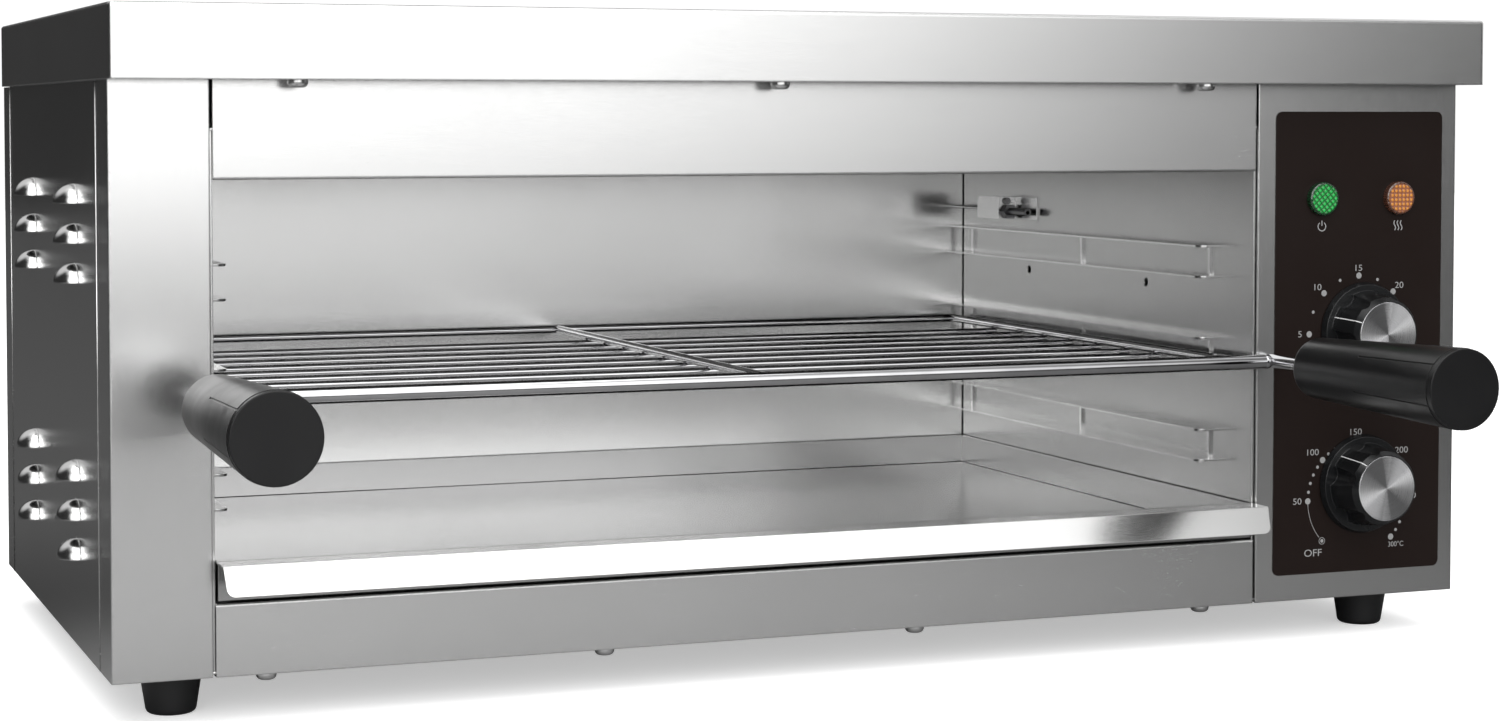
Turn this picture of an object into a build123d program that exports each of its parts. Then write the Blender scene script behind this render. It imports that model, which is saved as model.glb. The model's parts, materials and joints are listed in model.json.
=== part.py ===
from build123d import *
from math import atan2, cos, degrees, radians, sin
import os

# Countertop cheese melter: a stainless case that is open at the front, with a
# cavity, a wire rack on two grip handles, a pull-out crumb tray, two heaters
# under the roof and a control compartment on the right.
# Millimetres. +X right, +Y to the back, +Z up. The origin is on the table,
# halfway between the handles' front faces and the cable gland's rear end.

# ---------------------------------------------------------------- case sizes
body_width = 606.0
body_depth = 312.0
body_height = 230.0
foot_height = 18.5
lid_height = 28.7
lid_front_overhang = 18.0
lid_side_overhang = 2.0
lid_rear_setback = 8.0  # the body's back stands this far behind the lid
lid_sheet = 1.2
lid_corner_radius = 2.0
lid_edge_radius = 1.4
lid_engagement = 12.0  # the walls rise this far into the lid
sheet = 1.0
bend_radius = 0.9
seat_gap = 0.3  # between pieces that only rest on or pass each other
overrun = 1.0  # how far a cut runs past a face

left_post_width = 38.6
panel_width = 103.6
post_side_depth = 28.5
post_return_depth = 14.0
reveal_gap = 1.4  # between the posts and what stands between them
fascia_height = 38.4
fascia_return = 9.0
strip_height = 28.4
strip_top_flange = 16.0
strip_bottom_flange = 20.0
panel_seam = 0.4
joggle_width = 12.0
side_foot_flange = 44.0
rear_foot_inset = 12.0
rear_side_flange = 23.0
rear_top_flange = 31.0
rear_bottom_flange = 14.0

# ------------------------------------------------------------------- louvres
louvre_width = 20.0
louvre_height = 8.0
louvre_projection = 8.5
louvre_sheet = 0.9
louvre_front_inset = 86.0  # front column, behind the front face
louvre_rear_inset = 103.1  # rear column, before the body's back
louvre_pitch = 16.1
louvre_rows = 3
lower_louvre_height = 36.4  # lowest mouth over the base
upper_louvre_drop = 49.2  # highest mouth under the body's top

# ------------------------------------------------------------- rear features
vent_slot_length = 60.0
vent_slot_width = 4.0
vent_slot_pitch = 12.0
vent_slot_rows = 4
vent_slot_columns = 4
vent_column_pitch = 90.0
vent_drop = 22.0  # highest row under the body's top
gland_thread_diameter = 16.0
gland_bore_diameter = 8.5
gland_projection = 14.0
gland_flange_diameter = 22.0
gland_height = 26.0
gland_inset = 60.0  # from the right-hand side
gland_nut_thickness = 5.0
gland_thread_spare = 2.0
gland_taper = 1.0

# -------------------------------------------------------------------- cavity
rear_space = 19.4  # from the cavity's back wall to the body's back
cavity_wall_sheet = 1.0
roof_drop = 19.5  # under the body's top
corner_gap = 1.2  # the side walls stop this far before the back wall
wall_front_inset = 1.6
wall_foot_flange = 8.0
roof_front_flange = 14.0
wall_hole_diameter = 4.0
wall_hole_front_inset = 96.0  # behind the front face
wall_hole_rear_inset = 77.2  # before the back wall
wall_hole_height = 137.5

# --------------------------------------------------------------- rack guides
guide_heights = (74.9, 116.4, 157.9)  # upper ledges over the body's underside
guide_gap = 13.8  # between the tops of the two ledges of one level
guide_width = 11.0
guide_sheet = 1.0
guide_front = 28.9
guide_corner_radius = 4.0
guide_rib_width = 2.0
guide_rib_depth = 1.2
guide_rib_front_inset = 8.4
guide_rib_rear_inset = 13.5
guide_ribs = 3
rack_level = 1

# ---------------------------------------------------------------------- rack
rack_rod_diameter = 4.0
rack_wire_diameter = 3.0
rack_wire_count = 7
rack_wire_pitch = 27.8
rack_first_wire = 74.3
rack_rear_gap = 4.6  # from the rear bar's middle to the back wall
rack_rail_inset = 8.0  # from the cavity's side walls
rack_front_bar_diameter = 6.5
rack_front_bar_gap = 1.2  # in front of the posts
rack_bar_edge = 1.2
handle_rod_diameter = 6.0
handle_offset = 5.6  # outside the opening's edges

# ------------------------------------------------------------------- handles
handle_diameter = 33.0  # at the front, from where the grip tapers
handle_front_reach = 144.0  # from the body's front face
handle_length = 108.0
handle_waist_diameter = 26.2  # where the rear shoulder starts
handle_rear_diameter = 18.6
handle_shoulder_length = 4.6
handle_waist_round = 3.0
handle_rear_round = 1.5
handle_cap_thickness = 3.0
handle_cap_step = 0.2
handle_wall = 3.2
handle_front_edge = 0.4
handle_seam_length = 54.0
handle_seam_depth = 0.35
handle_seam_width = 0.6
handle_seam_angles = (-52.0, -112.0, 38.0, 128.0)
handle_nut_across = 10.0
handle_nut_thickness = 4.0
handle_socket_depth = 70.0

# ---------------------------------------------------------------- crumb tray
tray_sheet = 0.8
tray_side_gap = 1.0
tray_rear_gap = 2.0
tray_bottom_height = 29.4  # over the body's underside
tray_rim_height = 44.5
tray_front_rise = 0.3
tray_front_reach = 13.0
tray_lip_height = 12.0
tray_lip_angle = 20.0
tray_lip_corner = 3.4
tray_lip_draft = 1.0
runner_width = 10.0
runner_leg = 12.0
runner_front = 24.0

# ------------------------------------------------------------------ controls
label_margin = 8.7
label_width = 87.1
label_bottom = 11.5
label_top = 12.0
label_thickness = 0.4
label_corner = 3.0
knob_offset = 2.45  # right of the label's middle
timer_height = 119.3
thermostat_height = 50.9
lamp_spacing = 40.0
lamp_drop = 50.7  # under the body's top
lamp_lens_diameter = 14.9
lamp_lens_projection = 3.0
lamp_lens_edge = 1.0
lamp_barrel_diameter = 12.0
lamp_barrel_length = 30.0
lamp_ring_diameter = 17.0
lamp_ring_thickness = 3.0
control_shaft_diameter = 6.0
shaft_clearance = 0.05
panel_hole_clearance = 0.5

knob_reach = 20.0
knob_gap = 0.5
knob_skirt_diameter = 44.6
knob_skirt_thickness = 3.0
knob_skirt_draft = 1.0
knob_grip_diameter = 37.2
knob_front_diameter = 33.0
knob_cap_diameter = 29.0
knob_cap_thickness = 1.0
knob_cap_rim = 0.4
knob_cap_edge = 0.15
knob_chamfer_length = 2.5
knob_bite_radius = 5.2
knob_bite_offset = 20.9
knob_bites = 6
pointer_width = 0.45
pointer_proud = 0.12
timer_pointer_angle = -67.5  # clockwise from the top, seen from the front
thermostat_pointer_angle = -45.0
shaft_length = 32.0
shaft_in_knob = 14.0

timer_body_size = 46.0
timer_body_depth = 34.0
timer_boss_diameter = 36.8
thermostat_body_width = 34.0
thermostat_body_height = 40.0
thermostat_body_depth = 30.0
thermostat_boss_diameter = 10.2
control_bracket_thickness = 1.2
control_bracket_margin = 8.0

# ------------------------------------------------------------------- heating
element_diameter = 7.0
element_drop = 9.0  # tube axis under the roof
element_depths = ((52.0, 112.0), (180.0, 240.0))
element_left_inset = 18.0
element_tail = 14.0  # beyond the cavity's right wall
element_hole_clearance = 0.5
bush_diameter = 13.0
bush_thickness = 3.0
terminal_diameter = 4.0
terminal_length = 11.0
hanger_spacing = 137.5
hanger_height = 16.0
hanger_margin = 14.0
hanger_flange = 9.0

# -------------------------------------------------------------------- sensor
sensor_tab_inset = 63.6  # before the back wall
sensor_tab_width = 11.0
sensor_tab_height = 11.6
sensor_tab_bottom = 163.0
sensor_flange_length = 23.0
sensor_arm_length = 24.0
sensor_arm_round = 4.0
sensor_sheet = 1.0
sensor_tube_diameter = 3.8
sensor_tube_length = 22.0
sensor_tube_bore = 2.2
sensor_tube_up = 3.9
sensor_tube_side = 5.6
sensor_nut_across = 7.0
sensor_nut_thickness = 3.0
sensor_screw_up = 9.3
sensor_screw_side = 4.6
sensor_screw_head = 3.52
capillary_diameter = 1.6
capillary_bend = 6.0

# ---------------------------------------------------------------- small parts
screw_head_diameter = 8.0
screw_head_height = 3.1
screw_head_round = 2.0
screw_shank_diameter = 3.9
screw_hole_clearance = 0.05
cross_slot_width = 1.0
cross_slot_length = 3.6
cross_slot_depth = 0.9
lid_screw_side_inset = 31.0  # from the opening's edges
lid_screw_inset = 9.0
lid_screw_length = 7.0
lid_rear_screw_up = 7.5
lid_angle_leg = 15.0
lid_angle_rise = 8.0
strip_screw_left_inset = 20.5  # from the opening's edges
strip_screw_right_inset = 23.4
strip_screw_count = 4
strip_screw_inset = 6.0
strip_screw_length = 7.0
rear_screw_length = 9.0
rear_screw_left_inset = 53.0  # from the cavity's sides
rear_screw_right_inset = 48.0
rear_screw_low = 40.0
rear_screw_drop = 80.0
spacer_across = 8.0

foot_top_diameter = 25.2
foot_bottom_diameter = 19.4
foot_round = 2.4
foot_inset_x = 28.0
foot_inset_y = 32.0
foot_recess_diameter = 9.0
foot_recess_depth = 6.0

block_poles = 3
block_pole_width = 12.0
block_depth = 20.0
block_height = 17.0
block_screw_hole = 5.0
block_rear_gap = 50.0
shield_foot_flange = 10.0
shield_sheet = 0.8
shield_hole_diameter = 14.0
wire_diameter = 2.4
wire_bend = 9.0

# -------------------------------------------------------------- main planes
lid_depth = lid_front_overhang + body_depth - lid_rear_setback
overall_front_to_back = handle_front_reach + body_depth + gland_projection
y_front = handle_front_reach - overall_front_to_back / 2
y_back = y_front + body_depth
y_lid = y_front - lid_front_overhang
x_left = -body_width / 2
x_right = body_width / 2
z_base = foot_height
z_top = z_base + body_height
z_wall_top = z_top + lid_engagement
x_open_left = x_left + left_post_width
x_open_right = x_right - panel_width
x_cavity_left = x_open_left + reveal_gap
x_cavity_right = x_open_right - reveal_gap
x_middle = (x_cavity_left + x_cavity_right) / 2
y_cavity_back = y_back - rear_space
z_roof = z_top - roof_drop
z_base_plate = z_base + sheet
z_cavity_foot = z_base_plate + sheet
y_side_front = y_front + post_side_depth + panel_seam
y_side_back = y_back - rear_side_flange - panel_seam
x_label_left = x_open_right + label_margin
x_label_middle = x_label_left + label_width / 2
x_knob = x_label_middle + knob_offset
z_timer = z_base + timer_height
z_thermostat = z_base + thermostat_height
z_lamps = z_top - lamp_drop
label_height = body_height - label_bottom - label_top
z_guides = [z_base + height for height in guide_heights]
z_rack_ledge = z_guides[rack_level] - guide_gap
z_wires = z_rack_ledge + seat_gap + rack_wire_diameter / 2
z_rack = z_wires + (rack_wire_diameter + rack_rod_diameter) / 2
y_front_bar = y_front - rack_front_bar_gap - rack_front_bar_diameter / 2
y_rear_bar = y_cavity_back - rack_rear_gap
x_rail_left = x_cavity_left + rack_rail_inset
x_rail_right = x_cavity_right - rack_rail_inset
x_handle_left = x_open_left - handle_offset
x_handle_right = x_open_right + handle_offset
y_handle_front = y_front - handle_front_reach
y_handle_rear = y_handle_front + handle_length
z_elements = z_roof - element_drop
x_shield = x_cavity_right + wall_foot_flange + seat_gap
z_gland = z_base + gland_height
x_gland = x_right - gland_inset


# ------------------------------------------------------------------- helpers
def block(x0, x1, y0, y1, z0, z1):
    """A box between two corners."""
    middle = ((x0 + x1) / 2, (y0 + y1) / 2, (z0 + z1) / 2)
    return Pos(*middle) * Box(x1 - x0, y1 - y0, z1 - z0)


def rod_x(x0, x1, y, z, diameter):
    """A round rod along X."""
    return Pos((x0 + x1) / 2, y, z) * Rot(0, 90, 0) * Cylinder(diameter / 2, x1 - x0)


def rod_y(y0, y1, x, z, diameter):
    """A round rod along Y."""
    return Pos(x, (y0 + y1) / 2, z) * Rot(90, 0, 0) * Cylinder(diameter / 2, y1 - y0)


def rod_z(z0, z1, x, y, diameter):
    """A round rod along Z."""
    return Pos(x, y, (z0 + z1) / 2) * Cylinder(diameter / 2, z1 - z0)


def turned_y(y0, y1, x, z, radius0, radius1):
    """A cone frustum along Y, with a radius at each end."""
    cone = Cone(radius0, radius1, y1 - y0)
    return Pos(x, (y0 + y1) / 2, z) * Rot(-90, 0, 0) * cone


def hexagon_y(y0, y1, x, z, across):
    """A hexagonal prism along Y."""
    side = Plane(origin=(x, y0, z), x_dir=(1, 0, 0), z_dir=(0, 1, 0))
    return extrude(side * RegularPolygon(across / 2, 6, major_radius=False), y1 - y0)


def corner_edges(shape, axis, x=None, y=None, z=None, tolerance=0.01):
    """Edges along an axis whose middle lies at the given coordinates."""
    found = shape.edges().filter_by(axis)
    wanted = (x, y, z)
    chosen = []
    for edge in found:
        middle = edge.center()
        place = (middle.X, middle.Y, middle.Z)
        if all(w is None or abs(p - w) < tolerance for p, w in zip(place, wanted)):
            chosen.append(edge)
    return chosen


def pan_screw(length, x, y, z, turn):
    """A pan-head screw with a cross slot; turn points its head from +Z."""
    head = Cylinder(screw_head_diameter / 2, screw_head_height, align=(Align.CENTER, Align.CENTER, Align.MIN))
    head = fillet(head.edges().group_by(Axis.Z)[-1], screw_head_round)
    arm = Box(cross_slot_length, cross_slot_width, cross_slot_depth * 2)
    head -= Pos(0, 0, screw_head_height) * (arm + Rot(0, 0, 90) * arm)
    shank = Pos(0, 0, -length / 2) * Cylinder(screw_shank_diameter / 2, length)
    return Pos(x, y, z) * turn * (head + shank)


def tube_along(points, diameter, bend):
    """A round tube along straight runs joined by tangent arcs."""
    path = FilletPolyline(*points, radius=bend)
    start = Plane(origin=path @ 0, z_dir=path % 0)
    return sweep(start * Circle(diameter / 2), path=path)


screw_hole = screw_shank_diameter + 2 * screw_hole_clearance
shaft_hole = control_shaft_diameter + 2 * panel_hole_clearance
lamp_hole = lamp_barrel_diameter + 2 * screw_hole_clearance
capillary_hole = capillary_diameter + 2 * screw_hole_clearance
sensor_tube_hole = sensor_tube_diameter + 2 * screw_hole_clearance
head_down = Rot(180, 0, 0)
head_back = Rot(-90, 0, 0)


# ---------------------------------------------------------------- outer case
def lid_screw_places():
    """Middles of the screws along the lid's front rim."""
    return [x_cavity_left + lid_screw_side_inset, x_middle, x_cavity_right - lid_screw_side_inset]


def make_top_cover():
    """Folded lid: open below, with a rim under its front overhang."""
    x0 = x_left - lid_side_overhang
    x1 = x_right + lid_side_overhang
    y1 = y_lid + lid_depth
    z1 = z_top + lid_height
    shell = block(x0, x1, y_lid, y1, z_top, z1)
    shell = fillet(shell.edges().filter_by(Axis.Z), lid_corner_radius)
    shell = fillet(shell.edges().group_by(Axis.Z)[-1], lid_edge_radius)
    shell -= block(x0 + lid_sheet, x1 - lid_sheet, y_lid + lid_sheet, y1 - lid_sheet,
                   z_top + lid_sheet, z1 - lid_sheet)
    rim_end = y_front - seat_gap
    shell -= block(x0 + lid_sheet, x1 - lid_sheet, rim_end, y1 - lid_sheet, z_top - overrun, z1 - lid_sheet)
    for x in lid_screw_places():
        shell -= rod_z(z_top - overrun, z_top + 2 * lid_sheet, x, y_lid + lid_screw_inset, screw_hole)
        shell -= rod_y(y1 - 2 * lid_sheet, y1 + overrun, x, z_top + lid_rear_screw_up, screw_hole)
    return shell


def make_cover_angles():
    """Angle strips inside the lid that its screws hold on to."""
    z0 = z_top + lid_sheet
    x0 = x_cavity_left + 2 * joggle_width
    x1 = x_cavity_right
    front = block(x0, x1, y_front - lid_angle_leg, y_front, z0, z0 + sheet)
    front += block(x0, x1, y_front - sheet, y_front, z0 + sheet, z0 + lid_angle_rise)
    z_rear = z_top - seat_gap
    y_wall = y_lid + lid_depth - lid_sheet
    rear = block(x0, x1, y_wall - lid_angle_leg, y_wall, z_rear, z_rear + sheet)
    rear += block(x0, x1, y_wall - sheet, y_wall, z_rear + sheet, z_top + 2 * lid_rear_screw_up)
    for x in lid_screw_places():
        front -= rod_z(z0 - overrun, z0 + 2 * sheet, x, y_lid + lid_screw_inset, screw_hole)
        rear -= rod_y(y_wall - 2 * sheet, y_wall + overrun, x, z_top + lid_rear_screw_up, screw_hole)
    return Compound(children=[front, rear])


def make_cover_screws():
    """Screws up into the lid's front rim and through its back wall."""
    y_rear = y_lid + lid_depth
    screws = []
    for x in lid_screw_places():
        screws.append(pan_screw(lid_screw_length, x, y_lid + lid_screw_inset, z_top, head_down))
        screws.append(pan_screw(lid_screw_length, x, y_rear, z_top + lid_rear_screw_up, head_back))
    return Compound(children=screws)


def post_shell(x_outer, x_inner):
    """A folded front post: face, side, return beside the opening and foot."""
    side = 1 if x_outer > x_inner else -1
    low, high = min(x_outer, x_inner), max(x_outer, x_inner)
    shell = block(low, high, y_front, y_front + sheet, z_base, z_wall_top)
    outer = sorted((x_outer, x_outer - side * sheet))
    inner = sorted((x_inner, x_inner + side * sheet))
    shell += block(*outer, y_front, y_front + post_side_depth, z_base, z_wall_top)
    z_return = z_cavity_foot + seat_gap
    shell += block(*inner, y_front, y_front + post_return_depth, z_return, z_top - seat_gap)
    foot = sorted((x_outer, x_inner + side * sheet))
    shell += block(*foot, y_front, y_front + post_side_depth, z_base, z_base + sheet)
    return fillet(corner_edges(shell, Axis.Z, x=x_outer, y=y_front), bend_radius)


def make_left_post():
    """The narrow post at the left of the opening."""
    return post_shell(x_left, x_open_left)


def control_places():
    """Places of the two control shafts."""
    return ((x_knob, z_timer), (x_knob, z_thermostat))


def lamp_places():
    """Places of the two indicator lamps."""
    return [(x_label_middle + side * lamp_spacing / 2, z_lamps) for side in (-1, 1)]


def make_control_panel():
    """The wide post at the right, pierced for the shafts and the lamps."""
    shell = post_shell(x_right, x_open_right)
    for x, z in control_places():
        shell -= rod_y(y_front - overrun, y_front + 2 * sheet, x, z, shaft_hole)
    for x, z in lamp_places():
        shell -= rod_y(y_front - overrun, y_front + 2 * sheet, x, z, lamp_hole)
    return shell


def make_front_fascia():
    """The strip over the opening, folded back at its lower edge."""
    z0 = z_top - fascia_height
    shell = block(x_cavity_left, x_cavity_right, y_front, y_front + sheet, z0, z_wall_top)
    shell += block(x_cavity_left, x_cavity_right, y_front, y_front + fascia_return, z0, z0 + sheet)
    return fillet(corner_edges(shell, Axis.X, y=y_front, z=z0), bend_radius)


def strip_screw_places():
    """Screws under the lower strip."""
    first = x_cavity_left + strip_screw_left_inset
    last = x_cavity_right - strip_screw_right_inset
    return [first + index * (last - first) / (strip_screw_count - 1) for index in range(strip_screw_count)]


def make_lower_strip():
    """The strip under the tray, with a flange at the top and the bottom."""
    z1 = z_base + strip_height
    shell = block(x_cavity_left, x_cavity_right, y_front, y_front + sheet, z_base, z1)
    shell += block(x_cavity_left, x_cavity_right, y_front, y_front + strip_top_flange, z1 - sheet, z1)
    shell += block(x_cavity_left, x_cavity_right, y_front, y_front + strip_bottom_flange,
                   z_base, z_base_plate)
    shell = fillet(corner_edges(shell, Axis.X, y=y_front, z=z1), bend_radius)
    for x in strip_screw_places():
        shell -= rod_z(z_base - overrun, z_base + 2 * sheet, x, y_front + strip_screw_inset, screw_hole)
    return shell


def make_strip_screws():
    """Screws that hold the lower strip to the base."""
    return Compound(children=[
        pan_screw(strip_screw_length, x, y_front + strip_screw_inset, z_base, head_down)
        for x in strip_screw_places()
    ])


def eyelid(x_face, side):
    """One pressed louvre: a hollow quarter dome with its mouth below."""
    outer = scale(Sphere(1.0), by=(louvre_projection, louvre_width / 2, louvre_height))
    inner = scale(Sphere(1.0), by=(louvre_projection - louvre_sheet, louvre_width / 2 - louvre_sheet,
                                   louvre_height - louvre_sheet))
    reach = 2 * louvre_width
    keep = block(*sorted((0, side * reach)), -reach, reach, 0, reach)
    return Pos(x_face, 0, 0) * ((outer & keep) - inner)


def louvre_places():
    """Y and Z of the middle of each louvre's mouth."""
    rows = [z_base + lower_louvre_height + row * louvre_pitch for row in range(louvre_rows)]
    rows += [z_top - upper_louvre_drop - row * louvre_pitch for row in range(louvre_rows)]
    columns = (y_front + louvre_front_inset, y_back - louvre_rear_inset)
    return [(y, z) for y in columns for z in rows]


def side_panel(side):
    """A side wall with louvres, tucked behind the post and the rear wall."""
    x_face = side * body_width / 2
    outer = sorted((x_face, x_face - side * sheet))
    inner = sorted((x_face - side * sheet, x_face - side * 2 * sheet))
    foot = sorted((x_face - side * sheet, x_face - side * side_foot_flange))
    panel = block(*outer, y_side_front, y_side_back, z_base, z_wall_top)
    front_tab = y_side_front - joggle_width
    panel += block(*inner, front_tab, y_side_front + joggle_width, z_cavity_foot, z_wall_top)
    rear_tab = y_side_back + joggle_width
    panel += block(*inner, y_side_back - joggle_width, rear_tab, z_cavity_foot, z_top - 2 * sheet)
    panel += block(*foot, y_side_front, y_side_back, z_base, z_base_plate)
    for x, y in foot_places():
        panel -= rod_z(z_base - overrun, z_base_plate + sheet / 2, x, y, screw_hole)
    slot_depth = louvre_width / 2 - louvre_sheet
    for y, z in louvre_places():
        panel -= block(*outer, y - slot_depth, y + slot_depth, z, z + louvre_height / 2)
    hoods = [Pos(0, y, z) * eyelid(x_face, side) for y, z in louvre_places()]
    return Compound(children=[panel, *hoods])


def make_left_side_panel():
    """The side wall at the left."""
    return side_panel(-1)


def make_right_side_panel():
    """The side wall at the right, beside the controls."""
    return side_panel(1)


def rear_screw_places():
    """Screws through the rear wall into the spacers."""
    columns = (x_cavity_left + rear_screw_left_inset, x_cavity_right - rear_screw_right_inset)
    rows = (z_base + rear_screw_low, z_top - rear_screw_drop)
    return [(x, z) for x in columns for z in rows]


def make_rear_panel():
    """The rear wall, flanged all round, with vents and the cable entry."""
    z1 = z_top - seat_gap
    panel = block(x_left, x_right, y_back - sheet, y_back, z_base, z1)
    for side in (-1, 1):
        outer = sorted((side * body_width / 2, side * (body_width / 2 - sheet)))
        panel += block(*outer, y_back - rear_side_flange, y_back, z_base, z1)
    inset = 2 * sheet + seat_gap
    panel += block(x_left + inset, x_right - inset, y_back - rear_top_flange, y_back, z1 - sheet, z1)
    panel += block(x_left + rear_foot_inset, x_right - rear_foot_inset, y_back - rear_bottom_flange, y_back,
                   z_base, z_base_plate)
    panel = fillet([*corner_edges(panel, Axis.Z, x=x_left, y=y_back),
                    *corner_edges(panel, Axis.Z, x=x_right, y=y_back)], bend_radius)
    slot = SlotOverall(vent_slot_length, vent_slot_width)
    face = Plane(origin=(0, y_back + overrun, 0), x_dir=(1, 0, 0), z_dir=(0, -1, 0))
    for column in range(vent_slot_columns):
        x = (column - (vent_slot_columns - 1) / 2) * vent_column_pitch + x_middle
        for row in range(vent_slot_rows):
            z = z_top - vent_drop - row * vent_slot_pitch
            panel -= extrude(face * Pos(x, z) * slot, 2 * sheet + overrun)
    panel -= rod_y(y_back - 2 * sheet, y_back + overrun, x_gland, z_gland,
                   gland_thread_diameter + 2 * screw_hole_clearance)
    for x, z in rear_screw_places():
        panel -= rod_y(y_back - 2 * sheet, y_back + overrun, x, z, screw_hole)
    return panel


def make_rear_spacers():
    """Hexagonal spacers between the cavity's back wall and the rear wall."""
    y0 = y_cavity_back + cavity_wall_sheet
    y1 = y_back - sheet
    spacers = []
    for x, z in rear_screw_places():
        spacer = hexagon_y(y0, y1, x, z, spacer_across)
        spacers.append(spacer - rod_y(y0 - overrun, y1 + overrun, x, z, screw_hole))
    return Compound(children=spacers)


def make_rear_screws():
    """Screws through the rear wall."""
    return Compound(children=[
        pan_screw(rear_screw_length, x, y_back, z, head_back) for x, z in rear_screw_places()
    ])


def foot_places():
    """Middles of the four feet."""
    x = body_width / 2 - foot_inset_x
    ys = (y_front + foot_inset_y, y_back - foot_inset_y)
    return [(side * x, y) for side in (-1, 1) for y in ys]


def make_base_panel():
    """The floor plate that stands on the case's lower flanges."""
    inset = 2 * sheet + seat_gap
    plate = block(x_left + inset, x_right - inset, y_front + sheet + seat_gap, y_back - sheet - seat_gap,
                  z_base_plate, z_cavity_foot)
    for x, y in foot_places():
        plate -= rod_z(z_base, z_cavity_foot + overrun, x, y, screw_hole)
    for x in strip_screw_places():
        plate -= rod_z(z_base, z_cavity_foot + overrun, x, y_front + strip_screw_inset, screw_hole)
    return plate


def make_feet():
    """Tapered rubber feet with a recess for their screws."""
    feet = []
    for x, y in foot_places():
        cone = Cone(foot_bottom_diameter / 2, foot_top_diameter / 2, foot_height)
        cone = fillet(cone.edges().group_by(Axis.Z)[0], foot_round)
        foot = Pos(x, y, foot_height / 2) * cone
        foot -= rod_z(-overrun, foot_recess_depth, x, y, foot_recess_diameter)
        feet.append(foot - rod_z(0, foot_height + overrun, x, y, screw_hole))
    return Compound(children=feet)


def make_foot_screws():
    """Screws up through the feet, the flanges and the base."""
    length = z_cavity_foot + 2 * sheet - foot_recess_depth
    return Compound(children=[
        pan_screw(length, x, y, foot_recess_depth, head_down) for x, y in foot_places()
    ])


# -------------------------------------------------------------------- cavity
def side_wall(x_face, side):
    """A cavity side wall with a foot flange on the base and two holes."""
    wall = sorted((x_face, x_face + side * cavity_wall_sheet))
    foot = sorted((x_face, x_face + side * wall_foot_flange))
    y0 = y_front + wall_front_inset
    y1 = y_cavity_back - corner_gap
    shape = block(*wall, y0, y1, z_cavity_foot, z_roof)
    shape += block(*foot, y_front + 2 * post_return_depth, y1,
                   z_cavity_foot, z_cavity_foot + cavity_wall_sheet)
    for y in (y_front + wall_hole_front_inset, y_cavity_back - wall_hole_rear_inset):
        shape -= rod_x(wall[0] - overrun, wall[1] + overrun, y, z_base + wall_hole_height, wall_hole_diameter)
    return shape


def make_cavity_left_wall():
    """The cavity's left wall."""
    return side_wall(x_cavity_left, -1)


def element_legs():
    """Distance behind the front of every heater leg."""
    return [y_front + depth for pair in element_depths for depth in pair]


def make_cavity_right_wall():
    """The cavity's right wall, pierced for the heater ends."""
    shape = side_wall(x_cavity_right, 1)
    hole = element_diameter + 2 * element_hole_clearance
    for y in element_legs():
        shape -= rod_x(x_cavity_right - overrun, x_cavity_right + 2 * sheet, y, z_elements, hole)
    return shape


def capillary_start():
    """Where the sensor's capillary runs through the back wall."""
    x = x_cavity_right - sensor_tab_width + 2 * sensor_sheet
    return x, z_base + sensor_tab_bottom + sensor_tube_up + sensor_sheet


def make_cavity_back_wall():
    """The cavity's back wall."""
    x0 = x_cavity_left - cavity_wall_sheet
    x1 = x_cavity_right + cavity_wall_sheet
    wall = block(x0, x1, y_cavity_back, y_cavity_back + cavity_wall_sheet, z_cavity_foot, z_roof)
    x, z = capillary_start()
    return wall - rod_y(y_cavity_back - overrun, y_cavity_back + 2 * sheet, x, z, capillary_hole)


def make_cavity_roof():
    """The bright reflector roof, with a flange behind the fascia."""
    x0 = x_cavity_left - cavity_wall_sheet
    x1 = x_cavity_right + cavity_wall_sheet
    y0 = y_front + sheet
    roof = block(x0, x1, y0, y_cavity_back + cavity_wall_sheet, z_roof, z_roof + cavity_wall_sheet)
    return roof + block(x_cavity_left, x_cavity_right, y0, y0 + cavity_wall_sheet,
                        z_roof, z_roof + roof_front_flange)


def rack_guides(x_wall, side):
    """Three pairs of ledges on one wall, with ribs between each pair."""
    bars = []
    y0 = y_front + guide_front
    y_first = y0 + guide_rib_front_inset
    y_last = y_cavity_back - guide_rib_rear_inset
    for z in z_guides:
        for top in (z, z - guide_gap):
            edge = sorted((x_wall, x_wall - side * guide_width))
            ledge = block(*edge, y0, y_cavity_back, top - guide_sheet, top)
            outer = corner_edges(ledge, Axis.Z, x=x_wall - side * guide_width, y=y0)
            bars.append(fillet(outer, guide_corner_radius))
        rib = sorted((x_wall, x_wall - side * guide_rib_depth))
        for index in range(guide_ribs):
            y = y_first + index * (y_last - y_first) / (guide_ribs - 1)
            bars.append(block(*rib, y - guide_rib_width / 2, y + guide_rib_width / 2,
                              z - guide_gap, z - guide_sheet))
    return Compound(children=bars)


def make_left_rack_guides():
    """Rack guides on the left wall."""
    return rack_guides(x_cavity_left, -1)


def make_right_rack_guides():
    """Rack guides on the right wall."""
    return rack_guides(x_cavity_right, 1)


def make_tray_runners():
    """Angle runners under the crumb tray's sides."""
    z1 = z_base + tray_bottom_height - seat_gap
    y0 = y_front + runner_front
    y1 = y_cavity_back - corner_gap
    runners = []
    for x_wall, side in ((x_cavity_left, -1), (x_cavity_right, 1)):
        shelf = sorted((x_wall, x_wall - side * runner_width))
        leg = sorted((x_wall, x_wall - side * sheet))
        runner = block(*shelf, y0, y1, z1 - sheet, z1)
        runners.append(runner + block(*leg, y0, y1, z1 - runner_leg, z1 - sheet))
    return Compound(children=runners)


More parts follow.
